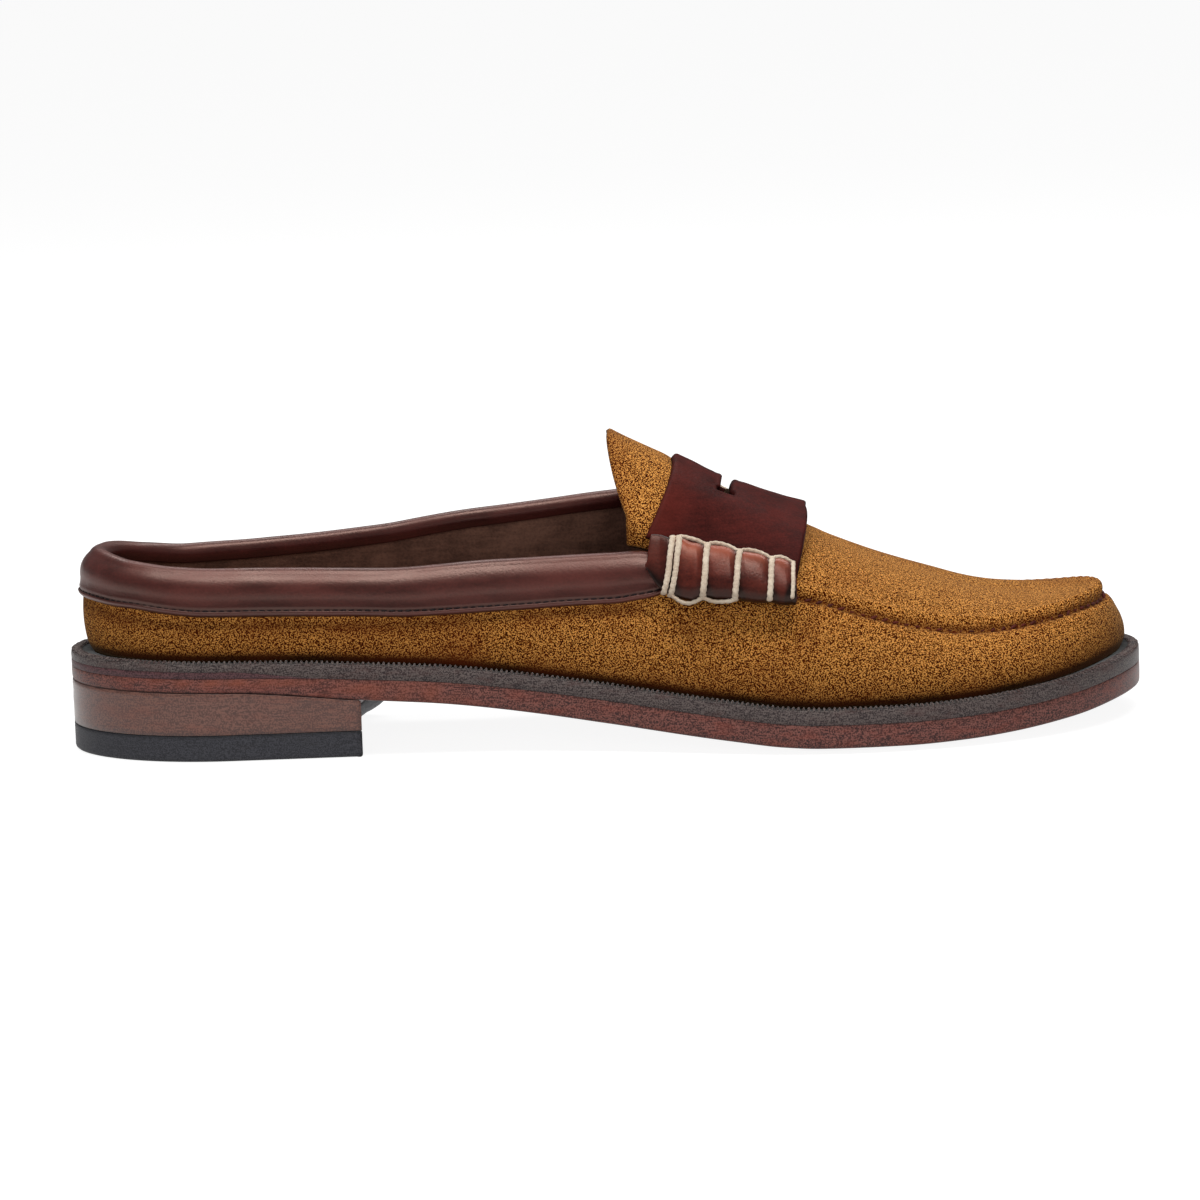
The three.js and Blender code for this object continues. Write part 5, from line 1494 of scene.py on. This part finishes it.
def make_beads(name, path, ups, finish, slot, **sizes):
    """One body of beads along a path in millimetres; ups are the surface's directions at its points."""
    mesh = bpy.data.meshes.new(name)
    mesh.from_pydata(in_frame(path), [(i, i + 1) for i in range(len(path) - 1)], [])
    layer = mesh.attributes.new("upward", "FLOAT_VECTOR", "POINT")
    layer.data.foreach_set("vector", np.asarray(ups, np.float32).ravel())
    piece = put_in_scene(name, mesh)
    maker = piece.modifiers.new("bead row", "NODES")
    maker.node_group = beads_along
    sockets = {item.name: item.identifier for item in beads_along.interface.items_tree
               if item.in_out == "INPUT"}
    for label, value in sizes.items():
        maker[sockets[label.capitalize()]] = value
    maker[sockets["Finish"]] = finish
    settle(piece)
    finish_piece(piece, finish)


def make_seam_stitches():
    start = float(way_of(0.668))
    ways = np.linspace(start, 2 - start, 900)
    ones = np.ones_like(ways)
    top = wall_point(ways, ones)
    onward = unit(np.gradient(top, axis=0))
    face = unit(np.cross(onward, unit(dome_point(ways, ones * 0.05) - wall_point(ways, ones * 0.93))))
    make_beads("seam_stitches", top - face * 0.35, face, thread_brown, "suede", pitch=0.0031, long=0.0027,
               wide=0.0010, high=0.0009, lean=0.3, uneven=0.7, seed=3)


def make_binding_stitches():
    reach = float(way_of(BINDING_RUN_ON - 0.004))
    ways = np.linspace(-reach, reach, 1200)
    path = binding_outside(ways, np.full_like(ways, BINDING_STITCH_RISE), 0.02)
    _, outward, _ = binding_directions(ways)
    make_beads("binding_stitches", path, outward, thread_black, "burgundy_leather", pitch=0.0022,
               long=0.0019, wide=0.00062, high=0.0005, lean=0.08, uneven=0.15, seed=5)


def make_welt_ridges():
    ways = np.linspace(0, 2, 2400)
    path = raised(inset(ways, np.full_like(ways, 1.6)), welt_top_z(share(ways)) - 0.05)
    up = np.tile([0.0, 0.0, 1.0], (len(ways), 1))
    make_beads("welt_ridges", path, up, welt_leather, "welt_leather", pitch=0.0014, long=0.00082,
               wide=0.0034, high=0.0014, lean=0.05, uneven=0.14, seed=9)


# The plain pale stage and its lights; places, sizes and distances from here on are in metres
FLOOR_REACH = 12.0
FLOOR_DROP = 0.0002
FLOOR_TONE = (0.3, 0.3, 0.3, 1)
FLOOR_GLOW_SEEN = 0.9
FLOOR_GLOW_MIRRORED = 0.7
WORLD_STRENGTH = 0.17
LIT_POINT = Vector((0, 0, 0.04))

# Lights: name, place, size, watts, colour and whether polished surfaces mirror it
LIGHTS = (("key softbox", (-0.1, -0.25, 1.25), (1.2, 0.3), 10.0, (1, 0.985, 0.965), True),
          ("front fill", (0.0, -1.7, 0.24), (2.4, 1.2), 16.5, (1, 1, 1), False),
          ("back softbox", (0.1, 0.7, 0.9), (1.2, 0.3), 4.5, (1, 1, 1), True))


def make_floor():
    mesh = bpy.data.meshes.new("floor")
    signs = ((-1, -1), (1, -1), (1, 1), (-1, 1))
    corners = [(x * FLOOR_REACH, y * FLOOR_REACH, -FLOOR_DROP) for x, y in signs]
    mesh.from_pydata(corners, [], [(0, 1, 2, 3)])
    floor = put_in_scene("floor", mesh)
    paper = bpy.data.materials.new("white floor")
    paper.use_nodes = True
    tree = paper.node_tree
    surface = tree.nodes["Principled BSDF"]
    paths = tree.nodes.new("ShaderNodeLightPath").outputs
    glow = add_blend(tree, paths["Is Camera Ray"], FLOOR_GLOW_SEEN,
                     paths["Is Glossy Ray"], FLOOR_GLOW_MIRRORED)
    for label, value in (("Base Color", FLOOR_TONE), ("Roughness", 0.9), ("Specular IOR Level", 0.0),
                         ("Emission Color", WHITE), ("Emission Strength", glow)):
        link_value(tree, surface.inputs[label], value)
    mesh.materials.append(paper)


def make_lights():
    world = bpy.data.worlds.new("studio")
    world.use_nodes = True
    background = world.node_tree.nodes["Background"]
    background.inputs["Color"].default_value = WHITE
    background.inputs["Strength"].default_value = WORLD_STRENGTH
    bpy.context.scene.world = world
    bpy.context.scene.view_settings.view_transform = "Standard"
    for name, place, size, watts, colour, mirrored in LIGHTS:
        light = bpy.data.lights.new(name, "AREA")
        light.shape = "RECTANGLE"
        light.size, light.size_y = size
        light.energy = watts
        light.color = colour
        lamp = put_in_scene(name, light)
        lamp.location = place
        lamp.visible_glossy = mirrored
        lamp.rotation_euler = (LIT_POINT - Vector(place)).to_track_quat("-Z", "Y").to_euler()


# The camera looks down and is rolled a little, as in the photo
CAMERA_PITCH = math.radians(9.5)
CAMERA_ROLL = math.radians(2.0)
CAMERA_TARGET = np.array([-0.0014, -0.00099, 0.0357])
CAMERA_DISTANCE = 1.5
CAMERA_LENS = 161.7
CAMERA_SENSOR = 36.0


def make_camera():
    ahead = np.array([0, math.cos(CAMERA_PITCH), -math.sin(CAMERA_PITCH)])
    level = np.array([1.0, 0, 0])
    upright = np.array([0, math.sin(CAMERA_PITCH), math.cos(CAMERA_PITCH)])
    right = level * math.cos(CAMERA_ROLL) - upright * math.sin(CAMERA_ROLL)
    up = upright * math.cos(CAMERA_ROLL) + level * math.sin(CAMERA_ROLL)
    lens = bpy.data.cameras.new("photo camera")
    lens.lens, lens.sensor_width = CAMERA_LENS, CAMERA_SENSOR
    camera = put_in_scene("photo camera", lens)
    place = np.eye(4)
    place[:3] = np.stack([right, up, -ahead, CAMERA_TARGET - ahead * CAMERA_DISTANCE], 1)
    camera.matrix_world = Matrix(place.tolist())
    bpy.context.scene.camera = camera


make_outsole()
make_welt()
make_rand()
make_top_lift()
make_heel_stack()
make_sock()
make_upper()
make_tongue()
make_saddle()
make_roll("beef_roll_outer", "beef_roll_lateral", False)
make_roll("beef_roll_inner", "beef_roll_medial", True)
make_roll_thread("roll_thread_outer", False)
make_roll_thread("roll_thread_inner", True)
make_binding()
make_seam_stitches()
make_binding_stitches()
make_welt_ridges()
make_floor()
make_lights()
make_camera()
